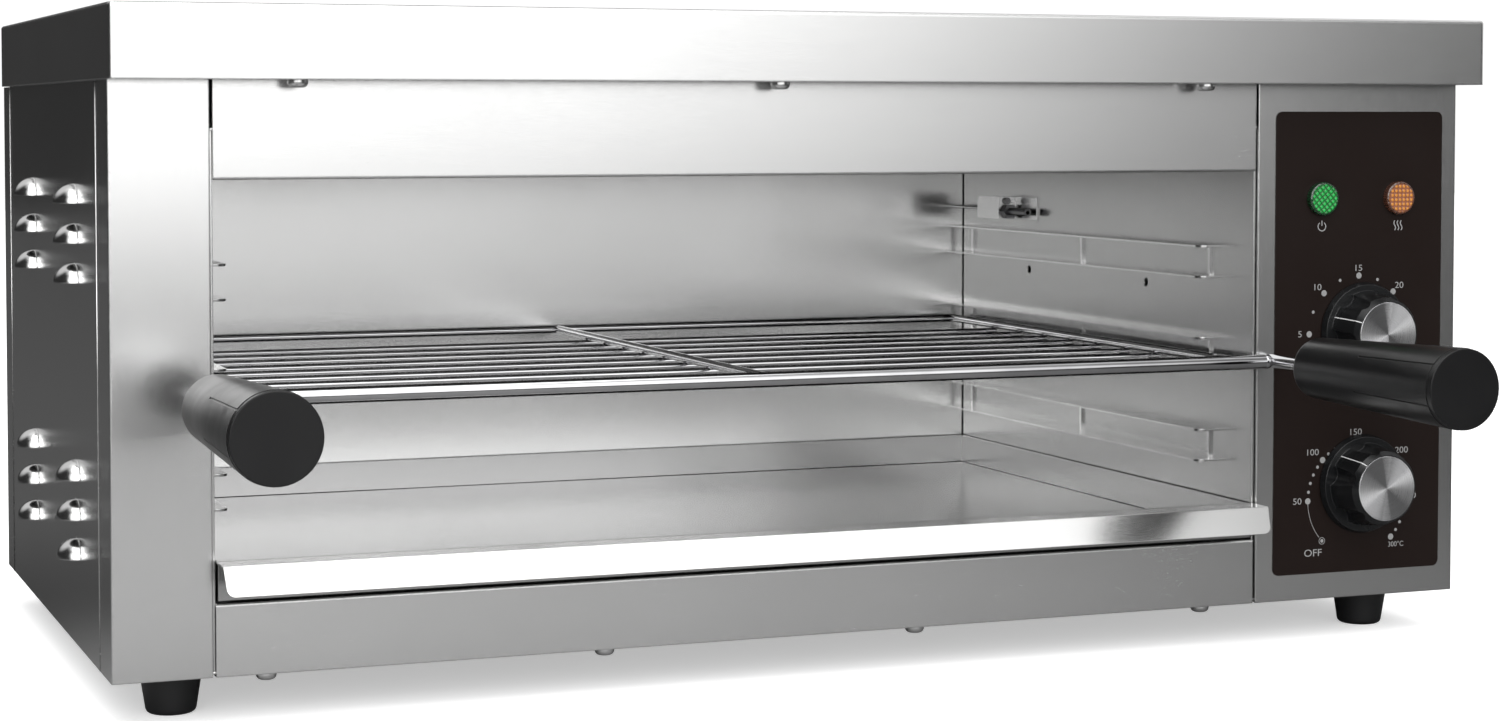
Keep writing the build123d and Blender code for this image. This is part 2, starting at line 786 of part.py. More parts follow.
# ------------------------------------------------------------------- heating
def heating_element(first, second):
    """A hairpin heater whose two ends leave through the right wall."""
    x_end = x_cavity_right + cavity_wall_sheet + element_tail
    x_turn = x_cavity_left + element_left_inset + abs(second - first) / 2
    radius = element_diameter / 2
    middle = (first + second) / 2
    legs = rod_x(x_turn, x_end, first, z_elements, element_diameter)
    legs += rod_x(x_turn, x_end, second, z_elements, element_diameter)
    ring = Torus(abs(second - first) / 2, radius)
    ring = Pos(x_turn, middle, z_elements) * ring
    half = block(x_turn - body_width, x_turn, middle - body_depth, middle + body_depth,
                 z_elements - 2 * radius, z_elements + 2 * radius)
    return legs + (ring & half)


def make_heating_element(index):
    """Heater number index, counted from the front."""
    first, second = (y_front + depth for depth in element_depths[index])
    return heating_element(first, second)


def make_element_ends():
    """A clamping collar and a terminal pin on each heater end."""
    x0 = x_cavity_right + cavity_wall_sheet
    x_pin = x0 + element_tail
    bore = element_diameter + 2 * screw_hole_clearance
    ends = []
    for y in element_legs():
        collar = rod_x(x0, x0 + bush_thickness, y, z_elements, bush_diameter)
        ends.append(collar - rod_x(x0 - overrun, x0 + bush_thickness + overrun, y, z_elements, bore))
        ends.append(rod_x(x_pin, x_pin + terminal_length, y, z_elements, terminal_diameter))
    return Compound(children=ends)


def make_element_hangers():
    """Combs under the roof that carry the heaters."""
    y0 = min(element_legs()) - hanger_margin
    y1 = max(element_legs()) + hanger_margin
    bore = element_diameter + 2 * screw_hole_clearance
    hangers = []
    for step in (-1, 0, 1):
        x = x_middle + step * hanger_spacing
        comb = block(x, x + sheet, y0, y1, z_roof - hanger_height, z_roof)
        comb += block(x, x + hanger_flange, y0, y1, z_roof - sheet, z_roof)
        for y in element_legs():
            comb -= rod_x(x - overrun, x + 2 * sheet, y, z_elements, bore)
        hangers.append(comb)
    return Compound(children=hangers)


# -------------------------------------------------------------------- sensor
def sensor_corner():
    """Outer corner of the sensor bracket: x, y of its tab, z of its foot."""
    return x_cavity_right - sensor_tab_width, y_cavity_back - sensor_tab_inset, z_base + sensor_tab_bottom


def make_sensor_bracket():
    """A folded bracket high on the right wall, near the back."""
    x0, y0, z0 = sensor_corner()
    z1 = z0 + sensor_tab_height
    bracket = block(x0, x_cavity_right, y0, y0 + sensor_sheet, z0, z1)
    bracket += block(x_cavity_right - sensor_sheet, x_cavity_right, y0 - sensor_flange_length, y0, z0, z1)
    arm = block(x0, x0 + sensor_sheet, y0, y0 + sensor_arm_length, z0, z1)
    arm = fillet(corner_edges(arm, Axis.X, y=y0 + sensor_arm_length, z=z1), sensor_arm_round)
    bracket += arm
    y1 = y0 + 2 * sensor_sheet
    bracket -= rod_y(y0 - overrun, y1, x0 + sensor_tube_side, z0 + sensor_tube_up, sensor_tube_hole)
    return bracket - rod_y(y0 - overrun, y1, x0 + sensor_screw_side, z0 + sensor_screw_up, capillary_hole)


def make_sensor_tube():
    """The sensor's open guard tube, which points to the front."""
    x0, y0, z0 = sensor_corner()
    x, z = x0 + sensor_tube_side, z0 + sensor_tube_up
    tube = rod_y(y0 - sensor_tube_length, y0 + 3 * sensor_sheet, x, z, sensor_tube_diameter)
    return tube - rod_y(y0 - sensor_tube_length - overrun, y0 - sensor_sheet, x, z, sensor_tube_bore)


def make_sensor_fasteners():
    """The nut on the guard tube and the small screw over it."""
    x0, y0, z0 = sensor_corner()
    x, z = x0 + sensor_tube_side, z0 + sensor_tube_up
    nut = hexagon_y(y0 - sensor_nut_thickness, y0, x, z, sensor_nut_across)
    nut -= rod_y(y0 - sensor_nut_thickness - overrun, y0 + overrun, x, z, sensor_tube_hole)
    x, z = x0 + sensor_screw_side, z0 + sensor_screw_up
    screw = rod_y(y0 - capillary_diameter, y0, x, z, sensor_screw_head)
    screw += rod_y(y0, y0 + 2 * sensor_sheet, x, z, capillary_diameter)
    return Compound(children=[nut, screw])


def make_capillary():
    """The thin tube from the sensor, through the back wall, to the thermostat."""
    x0, y0, z0 = sensor_corner()
    x, z = capillary_start()
    y_behind = (y_cavity_back + cavity_wall_sheet + y_back) / 2
    x_side = x_cavity_right + 4 * capillary_bend
    y_stat = y_front + sheet + thermostat_body_depth
    points = [
        (x, y0 + 4 * sensor_sheet, z),
        (x, y_behind, z),
        (x_side, y_behind, z),
        (x_side, y_behind - 8 * capillary_bend, z),
        (x_knob, y_stat + 4 * capillary_bend, z_thermostat + 2 * capillary_bend),
        (x_knob, y_stat, z_thermostat + 2 * capillary_bend),
    ]
    return tube_along(points, capillary_diameter, capillary_bend)


# ---------------------------------------------------------------------- rack
def make_rack_front_bar():
    """The thick bar in front of the posts, between the two handle rods."""
    reach = handle_rod_diameter / 2
    bar = rod_x(x_handle_left + reach, x_handle_right - reach, y_front_bar, z_rack, rack_front_bar_diameter)
    return fillet(bar.edges().filter_by(GeomType.CIRCLE), rack_bar_edge)


def make_rack_side_rails():
    """The two rails that run in the guides."""
    y0 = y_front_bar + rack_front_bar_diameter / 2
    y1 = y_rear_bar + rack_rod_diameter / 2
    rails = [rod_y(y0, y1, x, z_rack, rack_rod_diameter) for x in (x_rail_left, x_rail_right)]
    return Compound(children=rails)


def make_rack_rear_bar():
    """The cross rod at the back of the rack."""
    radius = rack_rod_diameter / 2
    return rod_x(x_rail_left + radius, x_rail_right - radius, y_rear_bar, z_rack, rack_rod_diameter)


def make_rack_centre_rod():
    """The rod that stiffens the middle of the rack."""
    y0 = y_front_bar + rack_front_bar_diameter / 2
    return rod_y(y0, y_rear_bar - rack_rod_diameter / 2, x_middle, z_rack, rack_rod_diameter)


def make_rack_wires():
    """Cross wires under the rails."""
    reach = rack_rod_diameter / 2
    return Compound(children=[
        rod_x(x_rail_left - reach, x_rail_right + reach,
              y_front + rack_first_wire + row * rack_wire_pitch, z_wires, rack_wire_diameter)
        for row in range(rack_wire_count)
    ])


def make_handle_rods():
    """The rods from the bar's ends into the two grips, each with its nut."""
    y1 = y_front_bar + rack_front_bar_diameter / 2
    y_socket = y_handle_rear - handle_socket_depth
    y0 = y_socket - 2 * handle_nut_thickness
    pieces = []
    for x in (x_handle_left, x_handle_right):
        rod = rod_y(y0, y1, x, z_rack, handle_rod_diameter)
        rod = fillet(rod.edges().filter_by(GeomType.CIRCLE).sort_by(Axis.Y)[-1], rack_bar_edge)
        nut = hexagon_y(y_socket - handle_nut_thickness, y_socket, x, z_rack, handle_nut_across)
        pieces.append(rod + nut)
    return Compound(children=pieces)


def handle_grip(x):
    """A hollow tapered grip, closed at the back, with fine lengthwise seams."""
    radius = handle_diameter / 2
    waist = handle_waist_diameter / 2
    y0 = y_handle_front + handle_cap_thickness
    y_shoulder = y_handle_rear - handle_shoulder_length
    grip = turned_y(y0, y_shoulder, x, z_rack, radius, waist)
    grip += turned_y(y_shoulder, y_handle_rear, x, z_rack, waist, handle_rear_diameter / 2)
    grip = fillet(grip.edges().filter_by(GeomType.CIRCLE).sort_by(Axis.Y)[-1], handle_rear_round)
    waist_ring = [edge for edge in grip.edges().filter_by(GeomType.CIRCLE)
                  if abs(edge.arc_center.Y - y_shoulder) < seat_gap]
    grip = fillet(waist_ring, handle_waist_round)
    y_socket = y_handle_rear - handle_socket_depth
    bore = handle_rod_diameter + 2 * screw_hole_clearance
    hollow = 2 * (radius - handle_wall)
    grip -= rod_y(y0 - overrun, y_socket, x, z_rack, hollow)
    grip -= rod_y(y_socket - overrun, y_handle_rear + overrun, x, z_rack, bore)
    taper = degrees(atan2(radius - waist, y_shoulder - y0))
    notch = Box(handle_seam_width, 2 * handle_seam_length, 2 * handle_seam_depth)
    for angle in handle_seam_angles:
        grip -= Pos(x, y0, z_rack) * Rot(0, angle, 0) * Pos(0, 0, radius) * Rot(-taper, 0, 0) * notch
    return grip


def make_left_handle():
    """The grip at the left."""
    return handle_grip(x_handle_left)


def make_right_handle():
    """The grip at the right."""
    return handle_grip(x_handle_right)


def make_handle_caps():
    """The plugs that close the front of the grips."""
    radius = handle_diameter / 2
    caps = []
    for x in (x_handle_left, x_handle_right):
        cap = rod_y(y_handle_front, y_handle_front + handle_cap_thickness, x, z_rack,
                    handle_diameter - 2 * handle_cap_step)
        front_ring = cap.edges().filter_by(GeomType.CIRCLE).sort_by(Axis.Y)[0]
        cap = fillet(front_ring, handle_front_edge)
        spigot = 2 * (radius - handle_wall - screw_hole_clearance)
        y0 = y_handle_front + handle_cap_thickness
        cap += rod_y(y0, y0 + 2 * handle_cap_thickness, x, z_rack, spigot)
        caps.append(cap)
    return Compound(children=caps)


# ---------------------------------------------------------------- crumb tray
def make_crumb_tray():
    """A shallow pan with a rim that leans out and a lip folded down in front."""
    z0 = z_base + tray_bottom_height
    z_rim = z_base + tray_rim_height
    z_front = z_rim + tray_front_rise
    x0 = x_cavity_left + tray_side_gap
    x1 = x_cavity_right - tray_side_gap
    y0 = y_front + sheet
    y1 = y_cavity_back - tray_rear_gap
    pan = block(x0, x1, y0, y1, z0, z_rim)
    pan -= block(x0 + tray_sheet, x1 - tray_sheet, y0 + tray_sheet, y1 - tray_sheet,
                 z0 + tray_sheet, z_rim + overrun)
    pan += block(x0, x1, y0, y0 + tray_sheet, z0, z_front)
    x_lip0 = x_cavity_left + seat_gap
    x_lip1 = x_cavity_right - seat_gap
    y_fold = y_front - tray_front_reach
    pan += block(x_lip0, x_lip1, y_fold, y0 + tray_sheet, z_front - tray_sheet, z_front)
    return pan + tray_lip(x_lip0, x_lip1, y_fold, z_front)


def tray_lip(x0, x1, y_fold, z_fold):
    """The lip's plate, with drawn-in ends and rounded lower corners."""
    half = (x1 - x0) / 2
    low = half - tray_lip_draft
    outline = Polyline((-half, 0), (half, 0), (low, -tray_lip_height), (-low, -tray_lip_height), close=True)
    face = make_face(outline)
    lower = face.vertices().group_by(Axis.Y)[0]
    face = fillet(lower, tray_lip_corner)
    lean = radians(tray_lip_angle)
    plane = Plane(origin=((x0 + x1) / 2, y_fold, z_fold), x_dir=(1, 0, 0), z_dir=(0, -cos(lean), sin(lean)))
    return extrude(plane * face, -tray_sheet)


# ------------------------------------------------------------------ controls
def make_panel_label():
    """The dark control label, pierced for the shafts and the lamps."""
    face = Plane(origin=(x_label_middle, y_front, z_base + label_bottom + label_height / 2),
                 x_dir=(1, 0, 0), z_dir=(0, -1, 0))
    label = extrude(face * RectangleRounded(label_width, label_height, label_corner), label_thickness)
    for x, z in control_places():
        label -= rod_y(y_front - overrun, y_front + overrun, x, z, shaft_hole)
    for x, z in lamp_places():
        label -= rod_y(y_front - overrun, y_front + overrun, x, z, lamp_hole)
    return label


def make_lamp_lens(index):
    """A round lens with a bevelled edge, on the label."""
    x, z = lamp_places()[index]
    y1 = y_front - label_thickness
    lens = rod_y(y1 - lamp_lens_projection, y1, x, z, lamp_lens_diameter)
    front_ring = lens.edges().filter_by(GeomType.CIRCLE).sort_by(Axis.Y)[0]
    return fillet(front_ring, lamp_lens_edge)


def make_lamp_bodies():
    """Lamp barrels behind the lenses, each with its clamping ring."""
    bodies = []
    y0 = y_front - label_thickness
    for x, z in lamp_places():
        barrel = rod_y(y0, y0 + lamp_barrel_length, x, z, lamp_barrel_diameter)
        barrel += rod_y(y_front + sheet, y_front + sheet + lamp_ring_thickness, x, z, lamp_ring_diameter)
        bodies.append(barrel)
    return Compound(children=bodies)


def turned(points, x, z):
    """A solid turned about the Y axis through x, z from an X, Y outline."""
    face = make_face(Polyline(*points, close=True))
    return Pos(x, 0, z) * revolve(face, Axis.Y)


def knob_levels():
    """Y of the knob's face, chamfer, skirt front and skirt back."""
    y_cap = y_front - knob_reach
    y_back_face = y_front - knob_gap - label_thickness
    return y_cap, y_cap + knob_chamfer_length, y_back_face - knob_skirt_thickness, y_back_face


def grip_outline(proud):
    """The grip's taper and chamfer, from its face to its skirt."""
    y_cap, y_chamfer, y_skirt, _ = knob_levels()
    return [
        (knob_cap_diameter / 2 + knob_cap_rim + proud, y_cap),
        (knob_front_diameter / 2 + proud, y_chamfer),
        (knob_grip_diameter / 2 + proud, y_skirt),
    ]


def make_knob(z, angle):
    """A lobed grip on a round skirt, bored for the shaft and the cap."""
    y_cap, _, y_skirt, y_back_face = knob_levels()
    cap_radius = knob_cap_diameter / 2
    skirt_radius = knob_skirt_diameter / 2
    bore_radius = control_shaft_diameter / 2 + shaft_clearance
    y_bore = y_back_face - shaft_in_knob
    outline = [(0, y_cap + knob_cap_thickness), (cap_radius, y_cap + knob_cap_thickness), (cap_radius, y_cap)]
    outline += grip_outline(0)
    outline += [(skirt_radius - knob_skirt_draft, y_skirt), (skirt_radius, y_back_face),
                (bore_radius, y_back_face), (bore_radius, y_bore), (0, y_bore)]
    knob = turned(outline, x_knob, z)
    for bite in range(knob_bites):
        turn = radians(angle + (bite + 0.5) * 360 / knob_bites)
        x_bite = x_knob + knob_bite_offset * sin(turn)
        z_bite = z + knob_bite_offset * cos(turn)
        knob -= rod_y(y_cap - overrun, y_skirt, x_bite, z_bite, 2 * knob_bite_radius)
    return knob


def make_knob_cap(z):
    """The bright disc let into the knob's face."""
    y_cap = y_front - knob_reach
    cap = rod_y(y_cap, y_cap + knob_cap_thickness, x_knob, z, knob_cap_diameter - 2 * screw_hole_clearance)
    front_ring = cap.edges().filter_by(GeomType.CIRCLE).sort_by(Axis.Y)[0]
    return fillet(front_ring, knob_cap_edge)


def make_knob_pointer(z, angle):
    """The raised line along the knob's side and chamfer."""
    y_cap, _, y_skirt, _ = knob_levels()
    outer = turned([(0, y_cap), *grip_outline(pointer_proud), (0, y_skirt)], x_knob, z)
    inner = turned([(0, y_cap), *grip_outline(0), (0, y_skirt)], x_knob, z)
    slab = block(-pointer_width / 2, pointer_width / 2, y_cap, y_skirt,
                 knob_cap_diameter / 2, knob_grip_diameter)
    return (outer - inner) & (Pos(x_knob, 0, z) * Rot(0, angle, 0) * slab)


def make_control_shaft(z):
    """The shaft that turns with the knob, from its bore into the control."""
    y1 = y_front - knob_gap - label_thickness - shaft_in_knob + shaft_length
    return rod_y(y1 - shaft_length, y1, x_knob, z, control_shaft_diameter)


def control_body(width, height, depth, z, boss_diameter):
    """A control's case on a mounting plate, bored for its shaft."""
    x = x_knob
    y0 = y_front + sheet
    margin = control_bracket_margin
    body = block(x - width / 2 - margin, x + width / 2 + margin, y0, y0 + control_bracket_thickness,
                 z - height / 4, z + height / 4)
    body += block(x - width / 2, x + width / 2, y0, y0 + depth, z - height / 2, z + height / 2)
    body += rod_y(y0 + depth, y0 + depth + boss_diameter / 4, x, z, boss_diameter)
    y1 = y_front - knob_gap - label_thickness - shaft_in_knob + shaft_length
    return body - rod_y(y0 - overrun, y1 + seat_gap, x, z, control_shaft_diameter + 2 * shaft_clearance)


def make_timer_body():
    """The clockwork timer behind the upper knob."""
    return control_body(timer_body_size, timer_body_size, timer_body_depth, z_timer, timer_boss_diameter)


def make_thermostat_body():
    """The thermostat behind the lower knob."""
    return control_body(thermostat_body_width, thermostat_body_height, thermostat_body_depth,
                        z_thermostat, thermostat_boss_diameter)


# --------------------------------------------------------------- electrics
def block_corner():
    """Left, front and lower corner of the terminal block."""
    width = block_poles * block_pole_width
    x0 = x_gland - width / 2
    y1 = y_back - block_rear_gap
    return x0, y1 - block_depth, z_cavity_foot


def make_terminal_block():
    """The mains terminal block on the base, with a screw well per pole."""
    x0, y0, z0 = block_corner()
    body = block(x0, x0 + block_poles * block_pole_width, y0, y0 + block_depth, z0, z0 + block_height)
    for pole in range(block_poles):
        x = x0 + (pole + 0.5) * block_pole_width
        body -= rod_z(z0 + block_height / 2, z0 + block_height + overrun, x, y0 + block_depth / 2,
                      block_screw_hole)
        body -= rod_y(y0 - overrun, y0 + block_depth / 4, x, z0 + block_height / 3,
                      wire_diameter + 2 * shaft_clearance)
    return body


def make_cable_gland():
    """The mains cable entry in the rear wall: flange, thread and bore."""
    y_thread = y_back - sheet - gland_nut_thickness - gland_thread_spare
    gland = rod_y(y_thread, y_back, x_gland, z_gland, gland_thread_diameter)
    gland += rod_y(y_back, y_back + gland_projection / 3, x_gland, z_gland, gland_flange_diameter)
    gland += turned_y(y_back + gland_projection / 3, y_back + gland_projection, x_gland, z_gland,
                      gland_thread_diameter / 2 + gland_taper, gland_thread_diameter / 2 - gland_taper)
    return gland - rod_y(y_back - body_depth, y_back + 2 * gland_projection, x_gland, z_gland,
                         gland_bore_diameter)


def make_gland_nut():
    """The nut that holds the gland from inside."""
    y1 = y_back - sheet
    nut = hexagon_y(y1 - gland_nut_thickness, y1, x_gland, z_gland, gland_flange_diameter)
    return nut - rod_y(y1 - 2 * gland_nut_thickness, y1 + overrun, x_gland, z_gland,
                       gland_thread_diameter + 2 * screw_hole_clearance)


def make_heat_shield():
    """The plate between the hot wall and the controls."""
    y0 = y_front + 2 * post_return_depth
    y1 = y_cavity_back - corner_gap
    z0 = z_cavity_foot
    shield = block(x_shield, x_shield + shield_sheet, y0, y1, z0, z_roof)
    shield += block(x_shield, x_shield + shield_foot_flange, y0, y1, z0, z0 + shield_sheet)
    for y in element_legs():
        shield -= rod_x(x_shield - overrun, x_shield + 2 * shield_sheet, y, z_elements, shield_hole_diameter)
    return shield


def make_wiring():
    """Insulated leads between the block, the controls and the heaters."""
    x0, y0, z0 = block_corner()
    z_block = z0 + block_height / 3
    y_timer = y_front + sheet + timer_body_depth
    y_stat = y_front + sheet + thermostat_body_depth
    x_pins = x_cavity_right + cavity_wall_sheet + element_tail + terminal_length
    legs = element_legs()
    leads = []
    into = block_depth / 4
    first_x = x0 + 0.5 * block_pole_width
    second_x = x0 + 1.5 * block_pole_width
    timer_x = x_knob + timer_body_size / 2 - wire_diameter
    timer_z = z_timer - timer_body_size / 2 + 2 * wire_diameter
    leads.append([(first_x, y0 + into, z_block), (first_x, y0 - 4 * wire_bend, z_block),
                  (timer_x, y_timer + 4 * wire_bend, timer_z), (timer_x, y_timer, timer_z)])
    link_x = x_knob - timer_body_size / 2 + wire_diameter
    stat_x = x_knob - thermostat_body_width / 2 + wire_diameter
    stat_z = z_thermostat + thermostat_body_height / 2 - 2 * wire_diameter
    leads.append([(link_x, y_timer, timer_z), (link_x, y_timer + 3 * wire_bend, timer_z),
                  (stat_x, y_stat + 4 * wire_bend, stat_z), (stat_x, y_stat, stat_z)])
    low_x = x_knob - thermostat_body_width / 2 + wire_diameter
    low_z = z_thermostat - thermostat_body_height / 2 + 2 * wire_diameter
    leads.append([(low_x, y_stat, low_z), (low_x, y_stat + 4 * wire_bend, low_z),
                  (x_pins + 2 * wire_bend, legs[0], z_elements - 4 * wire_bend),
                  (x_pins + 2 * wire_bend, legs[0], z_elements), (x_pins, legs[0], z_elements)])
    leads.append([(second_x, y0 + into, z_block), (second_x, y0 - 2 * wire_bend, z_block),
                  (x_pins + 2 * wire_bend, legs[3], z_elements - 4 * wire_bend),
                  (x_pins + 2 * wire_bend, legs[3], z_elements), (x_pins, legs[3], z_elements)])
    link = x_pins + 3 * wire_bend
    leads.append([(x_pins, legs[1], z_elements), (link, legs[1], z_elements),
                  (link, legs[2], z_elements), (x_pins, legs[2], z_elements)])
    return Compound(children=[tube_along(points, wire_diameter, wire_bend) for points in leads])


# ------------------------------------------------------------------- output
def export_part(name, shape):
    """Writes one sub-part."""
    export_step(shape, f"parts/{name}.step")


parts = {
    "top_cover": make_top_cover(),
    "cover_angles": make_cover_angles(),
    "cover_screws": make_cover_screws(),
    "left_post": make_left_post(),
    "control_panel": make_control_panel(),
    "front_fascia": make_front_fascia(),
    "lower_strip": make_lower_strip(),
    "strip_screws": make_strip_screws(),
    "left_side_panel": make_left_side_panel(),
    "right_side_panel": make_right_side_panel(),
    "rear_panel": make_rear_panel(),
    "rear_spacers": make_rear_spacers(),
    "rear_screws": make_rear_screws(),
    "base_panel": make_base_panel(),
    "feet": make_feet(),
    "foot_screws": make_foot_screws(),
    "cavity_left_wall": make_cavity_left_wall(),
    "cavity_right_wall": make_cavity_right_wall(),
    "cavity_back_wall": make_cavity_back_wall(),
    "cavity_roof": make_cavity_roof(),
    "left_rack_guides": make_left_rack_guides(),
    "right_rack_guides": make_right_rack_guides(),
    "tray_runners": make_tray_runners(),
    "front_heating_element": make_heating_element(0),
    "rear_heating_element": make_heating_element(1),
    "element_ends": make_element_ends(),
    "element_hangers": make_element_hangers(),
    "sensor_bracket": make_sensor_bracket(),
    "sensor_tube": make_sensor_tube(),
    "sensor_fasteners": make_sensor_fasteners(),
    "sensor_capillary": make_capillary(),
    "panel_label": make_panel_label(),
    "green_lamp_lens": make_lamp_lens(0),
    "amber_lamp_lens": make_lamp_lens(1),
    "lamp_bodies": make_lamp_bodies(),
    "timer_body": make_timer_body(),
    "thermostat_body": make_thermostat_body(),
    "terminal_block": make_terminal_block(),
    "cable_gland": make_cable_gland(),
    "gland_nut": make_gland_nut(),
    "heat_shield": make_heat_shield(),
    "wiring_leads": make_wiring(),
    "timer_knob": make_knob(z_timer, timer_pointer_angle),
    "timer_knob_cap": make_knob_cap(z_timer),
    "timer_knob_pointer": make_knob_pointer(z_timer, timer_pointer_angle),
    "timer_shaft": make_control_shaft(z_timer),
    "thermostat_knob": make_knob(z_thermostat, thermostat_pointer_angle),
    "thermostat_knob_cap": make_knob_cap(z_thermostat),
    "thermostat_knob_pointer": make_knob_pointer(z_thermostat, thermostat_pointer_angle),
    "thermostat_shaft": make_control_shaft(z_thermostat),
    "rack_front_bar": make_rack_front_bar(),
    "rack_side_rails": make_rack_side_rails(),
    "rack_rear_bar": make_rack_rear_bar(),
    "rack_centre_rod": make_rack_centre_rod(),
    "rack_wires": make_rack_wires(),
    "handle_rods": make_handle_rods(),
    "left_handle": make_left_handle(),
    "right_handle": make_right_handle(),
    "handle_caps": make_handle_caps(),
    "crumb_tray": make_crumb_tray(),
}

os.makedirs("parts", exist_ok=True)
for part_name, part_shape in parts.items():
    export_part(part_name, part_shape)
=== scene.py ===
"""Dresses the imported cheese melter: finishes, dial marks, welds, stage, light and camera."""

from __future__ import annotations

import json
import logging
import math
from dataclasses import dataclass, field
from enum import Enum
from functools import cached_property
from typing import ClassVar, Sequence

import bmesh
import bpy
from mathutils import Matrix, Vector

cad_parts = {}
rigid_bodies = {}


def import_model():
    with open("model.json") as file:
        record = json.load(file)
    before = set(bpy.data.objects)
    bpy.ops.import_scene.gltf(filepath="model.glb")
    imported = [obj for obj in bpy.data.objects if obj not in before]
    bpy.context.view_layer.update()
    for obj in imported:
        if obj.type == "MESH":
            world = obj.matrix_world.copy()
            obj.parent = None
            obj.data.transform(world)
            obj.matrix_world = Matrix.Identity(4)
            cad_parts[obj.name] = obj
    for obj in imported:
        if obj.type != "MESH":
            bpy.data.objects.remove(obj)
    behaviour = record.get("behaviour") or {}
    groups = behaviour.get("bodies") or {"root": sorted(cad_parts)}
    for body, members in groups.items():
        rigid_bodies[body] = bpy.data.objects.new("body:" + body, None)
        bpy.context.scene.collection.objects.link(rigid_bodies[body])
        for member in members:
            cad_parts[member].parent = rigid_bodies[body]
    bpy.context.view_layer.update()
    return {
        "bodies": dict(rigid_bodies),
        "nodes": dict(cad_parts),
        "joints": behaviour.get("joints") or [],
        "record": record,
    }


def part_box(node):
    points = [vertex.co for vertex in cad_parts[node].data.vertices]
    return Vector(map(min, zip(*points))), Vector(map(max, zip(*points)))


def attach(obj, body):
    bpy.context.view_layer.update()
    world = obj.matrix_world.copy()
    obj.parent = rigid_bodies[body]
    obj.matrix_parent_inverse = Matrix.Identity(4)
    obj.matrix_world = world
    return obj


LOG = logging.getLogger("cheese_melter")
MM = 0.001
FLOAT = "NodeSocketFloat"
VECTOR = "NodeSocketVector"
Node = bpy.types.Node
Socket = bpy.types.NodeSocket
Tree = bpy.types.NodeTree
Colour = tuple[float, float, float]
Pair = tuple[float, float]
Triple = tuple[float, float, float]
Range = tuple[float, float, float, float]
NodeTable = dict[str, tuple[str, ...]]
WHITE = (1.0, 1.0, 1.0, 1.0)


def grey(level: float) -> Colour:
    """Returns a neutral colour."""
    return (level, level, level)


class Grain(Enum):
    """Which way a sheet was brushed, as how far the grain is drawn out on each axis."""

    ALONG_X = (25.0, 250.0, 250.0)
    ALONG_Y = (250.0, 25.0, 250.0)
    ALONG_Z = (250.0, 250.0, 25.0)
    TUMBLED = (160.0, 160.0, 160.0)


class Body(Enum):
    """The rigid bodies that carry the scene's own pieces."""

    HOUSING = "housing"
    RACK = "rack"
    TRAY = "tray"


